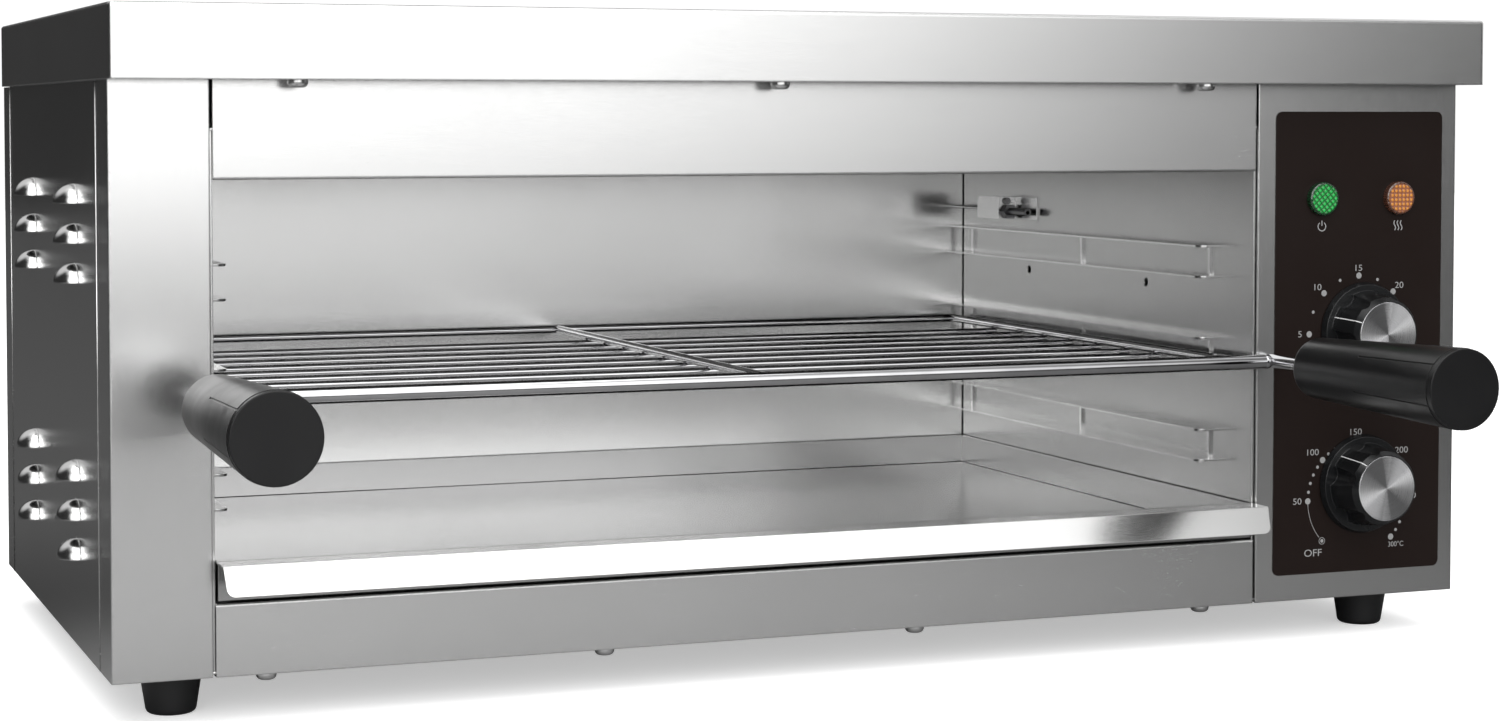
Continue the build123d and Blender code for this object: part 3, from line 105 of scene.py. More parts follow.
class NodeDesk:
    """Lays out shader nodes in a node tree and links them."""

    def __init__(self, tree: Tree) -> None:
        """Keeps the tree to work on.

        Args:
            tree: The node tree of a material, a world or a group.
        """
        self.tree = tree

    def add(self, kind: str, inputs: dict[str | int, object] | None = None, **settings: object) -> Node:
        """Adds a node, sets its own options and feeds its inputs.

        Args:
            kind: The node's type name.
            inputs: What each input takes, by its name or number.
            **settings: Options of the node, by attribute name.

        Returns:
            The new node.
        """
        node = self.tree.nodes.new(kind)
        for name, value in settings.items():
            setattr(node, name, value)
        for socket, source in (inputs or {}).items():
            self.feed(node, socket, source)
        return node

    def feed(self, node: Node, socket: str | int, source: object) -> None:
        """Links a socket to another socket, or sets its plain value.

        Args:
            node: The node that takes the input.
            socket: The input's name or number.
            source: An output socket, or a value.
        """
        target = node.inputs[socket]
        if isinstance(source, Socket):
            self.tree.links.new(source, target)
        else:
            target.default_value = source

    def maths(self, operation: str, first: object, second: object = 0.0, clamp: bool = False) -> Socket:
        """Adds a Math node.

        Args:
            operation: The node's operation.
            first: The first value or socket.
            second: The second value or socket.
            clamp: Whether the result stays between 0 and 1.

        Returns:
            The result's socket.
        """
        inputs = {0: first, 1: second}
        return self.add("ShaderNodeMath", inputs, operation=operation, use_clamp=clamp).outputs[0]

    def spread(self, value: object, low: float, high: float, to_low: float, to_high: float,
               smooth: bool = False) -> Socket:
        """Maps a value from one range to another, clamped.

        Args:
            value: The value or socket to map.
            low: Start of the range it comes from.
            high: End of the range it comes from.
            to_low: What the start becomes.
            to_high: What the end becomes.
            smooth: Whether the ends ease in and out.

        Returns:
            The result's socket.
        """
        inputs = {"From Min": low, "From Max": high, "To Min": to_low, "To Max": to_high, "Value": value}
        kind = "SMOOTHSTEP" if smooth else "LINEAR"
        return self.add("ShaderNodeMapRange", inputs, clamp=True, interpolation_type=kind).outputs["Result"]

    def noise(self, vector: object, scale: float, detail: float = 2.0, rough: float = 0.5) -> Socket:
        """Adds a noise pattern.

        Args:
            vector: The socket of the place it is read at.
            scale: How many times it repeats in a metre.
            detail: How many finer layers it has.
            rough: How strong the finer layers are.

        Returns:
            The socket of its value.
        """
        inputs = {"Vector": vector, "Scale": scale, "Detail": detail, "Roughness": rough}
        return self.add("ShaderNodeTexNoise", inputs).outputs["Fac"]

    def tint(self, factor: object, first: object, second: object) -> Socket:
        """Mixes two colours.

        Args:
            factor: How much of the second colour shows.
            first: The first colour, or its socket.
            second: The second colour, or its socket.

        Returns:
            The socket of the mixed colour.
        """
        node = self.add("ShaderNodeMix", {"Factor": factor}, data_type="RGBA")
        for name, colour in (("A", first), ("B", second)):
            socket = next(s for s in node.inputs if s.name == name and s.type == "RGBA")
            if isinstance(colour, Socket):
                self.tree.links.new(colour, socket)
            else:
                socket.default_value = (*colour, 1.0)
        return next(s for s in node.outputs if s.type == "RGBA")

    def place(self, stretch: Sequence[float] = (1.0, 1.0, 1.0)) -> Socket:
        """Adds the object's own coordinates, stretched on each axis.

        Args:
            stretch: Factor on X, Y and Z.

        Returns:
            The socket of the coordinates.
        """
        inputs = {0: self.add("ShaderNodeTexCoord").outputs["Object"], 1: tuple(stretch)}
        return self.add("ShaderNodeVectorMath", inputs, operation="MULTIPLY").outputs[0]

    def axes(self, vector: object = None) -> dict[str, Socket]:
        """Splits coordinates into X, Y and Z.

        Args:
            vector: The socket to split. Without one, the object's own coordinates are split.

        Returns:
            The socket of each axis, by its letter.
        """
        node = self.add("ShaderNodeSeparateXYZ", {0: self.place() if vector is None else vector})
        return {axis: node.outputs[axis] for axis in "XYZ"}

    def measure(self, operation: str, first: object, second: object) -> Socket:
        """Adds a Vector Math node that gives a number.

        Args:
            operation: The node's operation, such as a distance.
            first: The first vector or socket.
            second: The second vector or socket.

        Returns:
            The number's socket.
        """
        inputs = {0: first, 1: second}
        return self.add("ShaderNodeVectorMath", inputs, operation=operation).outputs["Value"]


def new_group(name: str, inputs: dict[str, str], outputs: dict[str, str]) -> tuple[NodeDesk, Node, Node]:
    """Makes an empty shader node group with named sockets.

    Args:
        name: The group's name.
        inputs: The socket type of each input.
        outputs: The socket type of each output.

    Returns:
        A desk for the group, its input node and its output node.
    """
    group = bpy.data.node_groups.new(name, "ShaderNodeTree")
    for way, sockets in (("INPUT", inputs), ("OUTPUT", outputs)):
        for title, kind in sockets.items():
            group.interface.new_socket(name=title, in_out=way, socket_type=kind)
    desk = NodeDesk(group)
    return desk, desk.add("NodeGroupInput"), desk.add("NodeGroupOutput")


class SharedEffects:
    """The surface effects that several finishes use, each as one node group."""

    # Noise layers, each as its scale, its detail and its roughness.
    GRAIN = (14.0, 3.0, 0.65)
    STREAK = (1.6, 2.0, 0.5)
    SMEAR = (9.0, 4.0, 0.6)
    SPECK = (900.0, 1.0, 0.5)
    # Where a mask starts and where it is full.
    SMEAR_MASK = (0.35, 0.75)
    SPECK_MASK = (0.72, 0.80)
    EDGE_MASK = (0.96, 0.75)
    BEVEL_SAMPLES = 4

    def __init__(self) -> None:
        """Builds the groups."""
        self.brushing = self._brushing()
        self.handling = self._handling()
        self.edge_wear_and_highlight = self._edge_wear_and_highlight()

    def _brushing(self) -> Tree:
        """Builds the drawn-out grain of brushed metal: a fine grain and a slow streak."""
        desk, source, result = new_group("brushing", {"Place": VECTOR}, {"Grain": FLOAT, "Streak": FLOAT})
        desk.feed(result, "Grain", desk.noise(source.outputs["Place"], *self.GRAIN))
        desk.feed(result, "Streak", desk.noise(source.outputs["Place"], *self.STREAK))
        return desk.tree

    def _handling(self) -> Tree:
        """Builds the faint smears and specks of a part that has been handled.

        Returns:
            A group with a smear mask and a speck mask.
        """
        desk, source, result = new_group(
            "handling", {"Place": VECTOR, "Size": FLOAT}, {"Smear": FLOAT, "Speck": FLOAT}
        )
        inputs = {0: source.outputs["Place"], "Scale": source.outputs["Size"]}
        place = desk.add("ShaderNodeVectorMath", inputs, operation="SCALE").outputs[0]
        cloud, speck = desk.noise(place, *self.SMEAR), desk.noise(place, *self.SPECK)
        desk.feed(result, "Smear", desk.spread(cloud, *self.SMEAR_MASK, 0.0, 1.0, smooth=True))
        desk.feed(result, "Speck", desk.spread(speck, *self.SPECK_MASK, 0.0, 1.0))
        return desk.tree

    def _edge_wear_and_highlight(self) -> Tree:
        """Builds a softened edge: a rounded normal and a mask along the edges.

        Returns:
            A group with the normal and the mask.
        """
        desk, source, result = new_group("edge_wear_and_highlight", {"Radius": FLOAT}, {"Normal": VECTOR, "Edge": FLOAT})
        inputs = {"Radius": source.outputs["Radius"]}
        soft = desk.add("ShaderNodeBevel", inputs, samples=self.BEVEL_SAMPLES).outputs["Normal"]
        turned = desk.measure("DOT_PRODUCT", soft, desk.add("ShaderNodeNewGeometry").outputs["Normal"])
        desk.feed(result, "Normal", soft)
        desk.feed(result, "Edge", desk.spread(turned, *self.EDGE_MASK, 0.0, 1.0))
        return desk.tree


class Surface(NodeDesk):
    """A material under way: its nodes, its surface shader and the shared effects."""

    def __init__(self, name: str, effects: SharedEffects) -> None:
        """Makes an empty material with a surface shader.

        Args:
            name: The material's name.
            effects: The shared effects.
        """
        self.material = bpy.data.materials.new(name)
        self.material.use_nodes = True
        super().__init__(self.material.node_tree)
        self.tree.nodes.clear()
        self.effects = effects
        self.shader = self.add("ShaderNodeBsdfPrincipled")
        self.out = self.add("ShaderNodeOutputMaterial", {"Surface": self.shader.outputs["BSDF"]})

    def give(self, socket: str, source: object) -> None:
        """Feeds an input of the surface shader."""
        self.feed(self.shader, socket, source)

    def effect(self, tree: Tree, **inputs: object) -> bpy.types.NodeOutputs:
        """Places a shared effect.

        Args:
            tree: The effect's group.
            **inputs: What its inputs take, by name.

        Returns:
            Its outputs, by name.
        """
        return self.add("ShaderNodeGroup", inputs, node_tree=tree).outputs

    def handled(self, size: float = 1.0) -> bpy.types.NodeOutputs:
        """Places the smears and specks of handling, at a given fineness."""
        return self.effect(self.effects.handling, Place=self.place(), Size=size)

    def bump(self, height: object, distance: float, strength: float, normal: object = None) -> None:
        """Gives the surface shader a bumped normal.

        Args:
            height: The socket of the height.
            distance: The height's size in metres.
            strength: How strongly it shows.
            normal: The socket of the normal that it starts from.
        """
        node = self.add("ShaderNodeBump", {"Height": height, "Distance": distance, "Strength": strength})
        if normal is not None:
            self.feed(node, "Normal", normal)
        self.give("Normal", node.outputs["Normal"])


@dataclass(frozen=True)
class Finish:
    """What every finish has: a name and a way to build its material."""

    name: str

    def build(self, effects: SharedEffects) -> bpy.types.Material:
        """Makes the material.

        Args:
            effects: The shared effects.

        Returns:
            The finished material.
        """
        skin = Surface(self.name, effects)
        self.paint(skin)
        return skin.material

    def paint(self, skin: Surface) -> None:
        """Lays out the nodes of the finish.

        Args:
            skin: The material under way.
        """
        raise NotImplementedError(self.name)


@dataclass(frozen=True)
class SteelSheet(Finish):
    """Brushed or satin sheet metal with grain, smears, and a painted highlight along its edges."""

    colour: Colour = (0.66, 0.66, 0.655)
    shade: Colour = grey(0.635)
    # The painted highlight along the edges, and on the lip where there is one.
    painted_highlight: Colour = (0.88, 0.88, 0.87)
    grain: Grain = Grain.ALONG_X
    grain_range: Pair = (0.25, 0.75)
    streak_share: float = 0.8
    roughness: float = 0.30
    roughness_swing: float = 0.03
    smear_roughness: float = 0.015
    edge_polish: float = 0.08
    relief: Pair = (0.000012, 0.10)
    edge: float = 0.0008
    lip_at: float | None = None
    lip_roughness: float = 0.15

    def paint(self, skin: Surface) -> None:
        """Lays out the grain, the smears and the edges with a painted highlight, and a polished lip with a
        painted highlight where the sheet has one.
        """
        brushing = skin.effect(skin.effects.brushing, Place=skin.place(self.grain.value))
        smear = skin.handled()["Smear"]
        edge = skin.effect(skin.effects.edge_wear_and_highlight, Radius=self.edge)
        tone = skin.maths("MULTIPLY", brushing["Streak"], self.streak_share)
        flat = skin.tint(tone, self.colour, self.shade)
        low, high = self.roughness - self.roughness_swing, self.roughness + self.roughness_swing
        rough = skin.spread(brushing["Grain"], *self.grain_range, low, high)
        # A polished lip with a painted highlight, where the sheet has one.
        if self.lip_at is not None:
            lip = skin.spread(skin.axes()["Y"], self.lip_at, self.lip_at - MM, 0.0, 1.0)
            flat = skin.tint(lip, flat, self.painted_highlight)
            polish = skin.maths("MULTIPLY", lip, self.roughness - self.lip_roughness)
            rough = skin.maths("SUBTRACT", rough, polish)
        rough = skin.maths("ADD", rough, skin.maths("MULTIPLY", smear, self.smear_roughness))
        worn = skin.maths("MULTIPLY", edge["Edge"], self.edge_polish)
        # Painted highlight along the edges, laid over the sheet's own colour.
        skin.give("Base Color", skin.tint(edge["Edge"], flat, self.painted_highlight))
        skin.give("Metallic", 1.0)
        skin.give("Roughness", skin.maths("SUBTRACT", rough, worn, clamp=True))
        skin.bump(brushing["Grain"], *self.relief, edge["Normal"])


@dataclass(frozen=True)
class BrightWire(Finish):
    """Polished wire with a faint drawn grain."""

    colour: Colour = (0.47, 0.47, 0.475)
    smeared: Colour = (0.40, 0.40, 0.41)
    roughness: float = 0.07
    smeared_roughness: float = 0.14
    smear_size: float = 4.0
    grain: Pair = (2500.0, 1.0)
    relief: Pair = (0.00001, 0.08)

    def paint(self, skin: Surface) -> None:
        """Lays out the smears and the grain."""
        smear = skin.handled(self.smear_size)["Smear"]
        skin.give("Base Color", skin.tint(smear, self.colour, self.smeared))
        skin.give("Metallic", 1.0)
        skin.give("Roughness", skin.spread(smear, 0.0, 1.0, self.roughness, self.smeared_roughness))
        skin.bump(skin.noise(skin.place(), *self.grain), *self.relief)


@dataclass(frozen=True)
class SpunDisc(Finish):
    """Spun metal: rings about the knob's axis, a turned sheen, and a fan of painted highlight and painted
    shade in its colour.
    """

    centre: Pair
    # The painted highlight's colour, and the painted shade between its sectors.
    colour: Colour = (0.93, 0.93, 0.94)
    dull: Colour = (0.52, 0.52, 0.53)
    rings: Triple = (9000.0, 2.0, 0.6)
    ring_range: Pair = (0.3, 0.7)
    ring_share: float = 0.15
    # Where the painted highlight's sectors start and are full, and how strong they are.
    wide_fan: Range = (0.70, 0.98, 0.0, 1.0)
    narrow_fan: Range = (0.975, 0.999, 0.0, 0.8)
    roughness: Pair = (0.24, 0.34)
    anisotropy: float = 0.85
    relief: Pair = (0.000015, 0.2)

    def paint(self, skin: Surface) -> None:
        """Lays out the rings, the fan of painted highlight and painted shade, and the turned sheen."""
        where = skin.axes()
        across = skin.maths("SUBTRACT", where["X"], self.centre[0])
        up = skin.maths("SUBTRACT", where["Z"], self.centre[1])
        squares = skin.maths("ADD", skin.maths("POWER", across, 2.0), skin.maths("POWER", up, 2.0))
        radius = skin.maths("SQRT", squares)
        rings = skin.noise(skin.add("ShaderNodeCombineXYZ", {0: radius}).outputs[0], *self.rings)
        level = skin.maths("ABSOLUTE", skin.maths("DIVIDE", across, radius))
        upright = skin.maths("ABSOLUTE", skin.maths("DIVIDE", up, radius))
        # Painted highlight fixed to the knob: wide sectors left and right, narrow ones top and bottom, and
        # painted shade between them.
        wide = skin.spread(level, *self.wide_fan, smooth=True)
        narrow = skin.spread(upright, *self.narrow_fan, smooth=True)
        fan = skin.maths("SUBTRACT", skin.maths("MAXIMUM", wide, narrow),
                         skin.maths("MULTIPLY", rings, self.ring_share), clamp=True)
        skin.give("Base Color", skin.tint(fan, self.dull, self.colour))
        skin.give("Metallic", 1.0)
        skin.give("Roughness", skin.spread(rings, *self.ring_range, *self.roughness))
        skin.give("Anisotropic", self.anisotropy)
        turn = skin.add("ShaderNodeTangent", direction_type="RADIAL", axis="Y")
        skin.give("Tangent", turn.outputs["Tangent"])
        skin.bump(rings, *self.relief)


@dataclass(frozen=True)
class Moulding(Finish):
    """Moulded plastic or rubber with a fine skin and worn edges."""

    colour: Colour
    worn: Colour = grey(0.05)
    roughness: float = 0.4
    smear_roughness: float = 0.10
    smear_size: float = 2.5
    edge_share: float = 0.5
    speck_share: float = 0.15
    pores: Pair = (2200.0, 2.0)
    relief: Pair = (0.00003, 0.12)
    specular: float = 0.5
    edge: float = 0.0005

    def paint(self, skin: Surface) -> None:
        """Lays out the wear, the smears and the moulded skin."""
        handling = skin.handled(self.smear_size)
        edge = skin.effect(skin.effects.edge_wear_and_highlight, Radius=self.edge)
        wear = skin.maths("MULTIPLY", edge["Edge"], self.edge_share)
        specks = skin.maths("MULTIPLY", handling["Speck"], self.speck_share)
        wear = skin.maths("ADD", wear, specks, clamp=True)
        skin.give("Base Color", skin.tint(wear, self.colour, self.worn))
        dullest = self.roughness + self.smear_roughness
        skin.give("Roughness", skin.spread(handling["Smear"], 0.0, 1.0, self.roughness, dullest))
        skin.give("Specular IOR Level", self.specular)
        skin.bump(skin.noise(skin.place(), *self.pores), *self.relief, edge["Normal"])


@dataclass(frozen=True)
class PrintedInk(Finish):
    """Screen-printed ink, slightly uneven."""

    colour: Colour
    thin_share: float = 0.85
    mottle: Pair = (3000.0, 2.0)
    mottle_range: Pair = (0.3, 0.7)
    roughness: Pair = (0.42, 0.52)

    def paint(self, skin: Surface) -> None:
        """Lays out the uneven ink."""
        mottle = skin.noise(skin.place(), *self.mottle)
        thin = tuple(self.thin_share * channel for channel in self.colour)
        skin.give("Base Color", skin.tint(mottle, self.colour, thin))
        skin.give("Roughness", skin.spread(mottle, *self.mottle_range, *self.roughness))


@dataclass(frozen=True)
class LampLens(Finish):
    """A tinted lens with a pressed grid of small facets, a dark rim and a soft glow."""

    centre: Pair
    deep: Colour = (0.002, 0.085, 0.012)
    pale: Colour = (0.02, 0.30, 0.06)
    rim: Colour = (0.002, 0.02, 0.006)
    rim_range: Pair = (0.0058, 0.0068)
    turn: float = 40.0
    pitch: float = 4.0 * MM
    facet_range: Pair = (0.25, 0.85)
    relief: Pair = (0.0003, 0.7)
    glow: float = 0.03
    roughness: Pair = (0.30, 0.12)
    coat: float = 0.8
    coat_roughness: float = 0.05

    def paint(self, skin: Surface) -> None:
        """Lays out the facets, the rim and the glow."""
        inputs = {"Vector": skin.place(), "Rotation": (0.0, math.radians(self.turn), 0.0)}
        where = skin.axes(skin.add("ShaderNodeMapping", inputs).outputs[0])
        turns = [skin.maths("MULTIPLY", where[axis], 2 * math.pi / self.pitch) for axis in "XZ"]
        waves = [skin.maths("ABSOLUTE", skin.maths("SINE", turn)) for turn in turns]
        facets = skin.maths("MULTIPLY", *waves)
        colour = skin.tint(skin.spread(facets, *self.facet_range, 0.0, 1.0), self.deep, self.pale)
        away = skin.measure("DISTANCE", skin.place((1.0, 0.0, 1.0)), (self.centre[0], 0.0, self.centre[1]))
        border = skin.spread(away, *self.rim_range, 0.0, 1.0, smooth=True)
        colour = skin.tint(border, colour, self.rim)
        skin.give("Base Color", colour)
        skin.give("Emission Color", colour)
        skin.give("Emission Strength", self.glow)
        skin.give("Roughness", skin.spread(facets, 0.0, 1.0, *self.roughness))
        skin.give("Coat Weight", self.coat)
        skin.give("Coat Roughness", self.coat_roughness)
        skin.bump(facets, *self.relief)


@dataclass(frozen=True)
class HeatedTube(Finish):
    """A heater sheath, dulled and tinted by use."""

    burnt: Colour = (0.20, 0.17, 0.15)
    pale: Colour = (0.33, 0.31, 0.29)
    patches: Triple = (45.0, 4.0, 0.6)
    patch_range: Pair = (0.35, 0.65)
    dull_range: Pair = (0.3, 0.7)
    roughness: Pair = (0.42, 0.62)
    scale_noise: Pair = (1800.0, 2.0)
    relief: Pair = (0.00004, 0.3)

    def paint(self, skin: Surface) -> None:
        """Lays out the burnt patches and the scaly skin."""
        patch = skin.noise(skin.place(), *self.patches)
        tone = skin.spread(patch, *self.patch_range, 0.0, 1.0)
        skin.give("Base Color", skin.tint(tone, self.burnt, self.pale))
        skin.give("Metallic", 1.0)
        skin.give("Roughness", skin.spread(patch, *self.dull_range, *self.roughness))
        skin.bump(skin.noise(skin.place(), *self.scale_noise), *self.relief)


@dataclass(frozen=True)
class PaleFloor(Finish):
    """The plain pale floor, which gloss on the object sees as a dim floor with a painted pool of light."""

    colour: Colour = grey(0.86)
    roughness: float = 0.9
    glow: float = 0.45
    # Painted light seen only by gloss: a pool of light, painted shade behind the object, and brighter light
    # further back and at the back right.
    pool: Pair = (-0.35, -0.45)
    pool_range: Range = (0.15, 1.1, 0.34, 0.05)
    behind_share: Range = (-0.10, 0.25, 1.0, 0.30)
    far: Range = (0.15, 0.6, 0.0, 0.065)
    rear_across: Range = (-0.20, 0.25, 0.0, 0.40)
    rear_along: Range = (-0.05, 0.35, 0.0, 1.0)

    def paint(self, skin: Surface) -> None:
        """Lays out the lit floor, and the dim one that gloss sees, with a painted pool of light, painted
        shade behind the object and painted light further back and to the back right.
        """
        skin.give("Base Color", (*self.colour, 1.0))
        skin.give("Roughness", self.roughness)
        skin.give("Specular IOR Level", 0.0)
        where = skin.axes()
        away = skin.measure("DISTANCE", skin.place(), (*self.pool, 0.0))
        pool = skin.spread(away, *self.pool_range, smooth=True)
        pool = skin.maths("MULTIPLY", pool, skin.spread(where["Y"], *self.behind_share, smooth=True))
        pool = skin.maths("ADD", pool, skin.spread(where["Y"], *self.far, smooth=True))
        rear = skin.maths("MULTIPLY", skin.spread(where["X"], *self.rear_across, smooth=True),
                          skin.spread(where["Y"], *self.rear_along, smooth=True))
        dim = skin.add("ShaderNodeBsdfDiffuse", {"Color": skin.maths("ADD", pool, rear)})
        glow = skin.add("ShaderNodeEmission", {"Color": WHITE, "Strength": self.glow})
        lit = skin.add("ShaderNodeAddShader", {0: skin.shader.outputs["BSDF"], 1: glow.outputs["Emission"]})
        glossy = skin.add("ShaderNodeLightPath").outputs["Is Glossy Ray"]
        mix = skin.add("ShaderNodeMixShader", {"Fac": glossy, 1: lit.outputs[0], 2: dim.outputs["BSDF"]})
        skin.feed(skin.out, "Surface", mix.outputs[0])


class FinishBook(dict[str, bpy.types.Material]):
    """Every finish of the melter, built once and found by its name."""

    FINISHES = (
        SteelSheet("case_front", roughness=0.24),
        SteelSheet("case_post", grain=Grain.ALONG_Z, roughness=0.22),
        SteelSheet("case_side", grain=Grain.ALONG_Z, roughness=0.18),
        SteelSheet("case_lid", roughness=0.24),
        SteelSheet("cavity_sheet", roughness=0.22, colour=(0.67, 0.67, 0.665), shade=grey(0.65)),
        SteelSheet("guide_sheet", grain=Grain.ALONG_Y, roughness=0.16, colour=(0.58, 0.58, 0.577),
                   shade=grey(0.55), edge=0.0003),
        # Painted shade: the tray's pan is darker than the case's steel, and its lip gets a painted highlight.
        SteelSheet("tray_sheet", roughness=0.20, colour=(0.42, 0.42, 0.418), shade=grey(0.40),
                   painted_highlight=(0.70, 0.70, 0.695), edge=0.0005, lip_at=-0.0915),
        # Painted shade: the right wall is a darker copy of the cavity's steel.
        SteelSheet("right_wall_sheet", grain=Grain.ALONG_Y, roughness=0.22, colour=(0.45, 0.45, 0.447),
                   shade=grey(0.43)),
        SteelSheet("bracket_sheet", grain=Grain.TUMBLED, roughness=0.22, colour=(0.58, 0.58, 0.577),
                   shade=grey(0.55), edge=0.0003),
        SteelSheet("dark_steel", grain=Grain.TUMBLED, colour=(0.20, 0.20, 0.205), shade=(0.14, 0.14, 0.145),
                   painted_highlight=grey(0.5), edge=0.0001),
        SteelSheet("reflector", roughness=0.20, colour=(0.70, 0.70, 0.695)),
        SteelSheet("seam_edge", grain=Grain.ALONG_Z, roughness=0.25, colour=(0.55, 0.55, 0.545),
                   edge=0.0001),
        SteelSheet("plated_steel", grain=Grain.TUMBLED, roughness=0.24, edge=0.0002),
        BrightWire("bright_wire"),
        HeatedTube("heater_tube"),
        Moulding("grip_plastic", (0.0042, 0.0042, 0.0045), grey(0.008), roughness=0.30, specular=0.28),
        Moulding("knob_plastic", (0.0045, 0.0048, 0.0052), (0.03, 0.03, 0.033), roughness=0.24,
                 specular=0.4),
        Moulding("foot_rubber", (0.005, 0.005, 0.0055), grey(0.03), roughness=0.42),
        Moulding("gland_plastic", grey(0.018), roughness=0.5),
        Moulding("label_film", (0.0078, 0.0046, 0.0038), (0.02, 0.016, 0.014), roughness=0.34,
                 pores=(5000.0, 2.0), relief=(0.00003, 0.05), specular=0.12, edge=0.0002),
        Moulding("lamp_holder", (0.75, 0.75, 0.72), grey(0.8), roughness=0.5),
        Moulding("control_case", (0.25, 0.22, 0.18), (0.3, 0.28, 0.24), roughness=0.55),
        Moulding("terminal_plastic", (0.78, 0.76, 0.70), (0.8, 0.8, 0.76), roughness=0.5),
        Moulding("lead_sleeve", (0.66, 0.63, 0.52), (0.7, 0.68, 0.6), roughness=0.6),
        PrintedInk("pointer_white", grey(0.60)),
        PrintedInk("scale_print", grey(0.21)),
        LampLens("green_lens", (0.23165, 0.1978)),
        LampLens("amber_lens", (0.27165, 0.1978), deep=(0.16, 0.052, 0.024), pale=(0.42, 0.17, 0.03),
                 rim=(0.05, 0.018, 0.010), turn=0.0),
        SpunDisc("timer_disc", (0.25409, 0.1378)),
        SpunDisc("thermostat_disc", (0.25409, 0.0694)),
        PaleFloor("pale_floor"),
    )

    def __init__(self) -> None:
        """Builds the materials."""
        effects = SharedEffects()
        super().__init__({finish.name: finish.build(effects) for finish in self.FINISHES})


def add_piece(name: str, data: bpy.types.Mesh, body: Body, material: bpy.types.Material) -> None:
    """Puts a mesh in the scene as a piece that rides on a body.

    Args:
        name: The piece's name.
        data: Its mesh.
        body: The body that carries it.
        material: Its material.
    """
    data.materials.clear()
    data.materials.append(material)
    piece = bpy.data.objects.new(name, data)
    bpy.context.scene.collection.objects.link(piece)
    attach(piece, body.value)
    LOG.info("piece %s rides on %s", name, body.value)


@dataclass
class MeshPiece:
    """A piece made from mesh code."""

    name: str
    mesh: bmesh.types.BMesh = field(default_factory=bmesh.new)

    BEAD_SIDES = 16
    BLOB_FINENESS = 3

    def rod(self, matrix: Matrix, radius: float, length: float, sides: int) -> None:
        """Adds a round rod.

        Args:
            matrix: Takes the rod, which stands on Z about the origin, to its place.
            radius: Its radius.
            length: Its length.
            sides: Sides of its outline.
        """
        bmesh.ops.create_cone(self.mesh, cap_ends=True, segments=sides, radius1=radius, radius2=radius,
                              depth=length, matrix=matrix)

    def blob(self, centre: Vector, radii: Sequence[float]) -> None:
        """Adds a rounded drop, such as a weld.

        Args:
            centre: Its middle.
            radii: Its half sizes on X, Y and Z.
        """
        matrix = Matrix.Translation(centre) @ Matrix.Diagonal((*radii, 1.0))
        bmesh.ops.create_icosphere(self.mesh, subdivisions=self.BLOB_FINENESS, radius=1.0, matrix=matrix)

    def bead(self, start: Vector, end: Vector, radius: float) -> None:
        """Adds a thin straight round bead.

        Args:
            start: Middle of one end.
            end: Middle of the other end.
            radius: Its radius.
        """
        way = end - start
        matrix = Matrix.Translation((start + end) / 2) @ way.to_track_quat("Z", "Y").to_matrix().to_4x4()
        self.rod(matrix, radius, way.length, self.BEAD_SIDES)

    def finish(self, body: Body, material: bpy.types.Material, slot: str, smooth: bool = False) -> None:
        """Turns the mesh into an object that rides on a body.

        Args:
            body: The body that carries it.
            material: Its material.
            slot: The record's material slot; not used.
            smooth: Whether its faces are shaded smooth.
        """
        bmesh.ops.recalc_face_normals(self.mesh, faces=self.mesh.faces)
        data = bpy.data.meshes.new(self.name)
        self.mesh.to_mesh(data)
        self.mesh.free()
        for polygon in data.polygons:
            polygon.use_smooth = smooth
        add_piece(self.name, data, body, material)


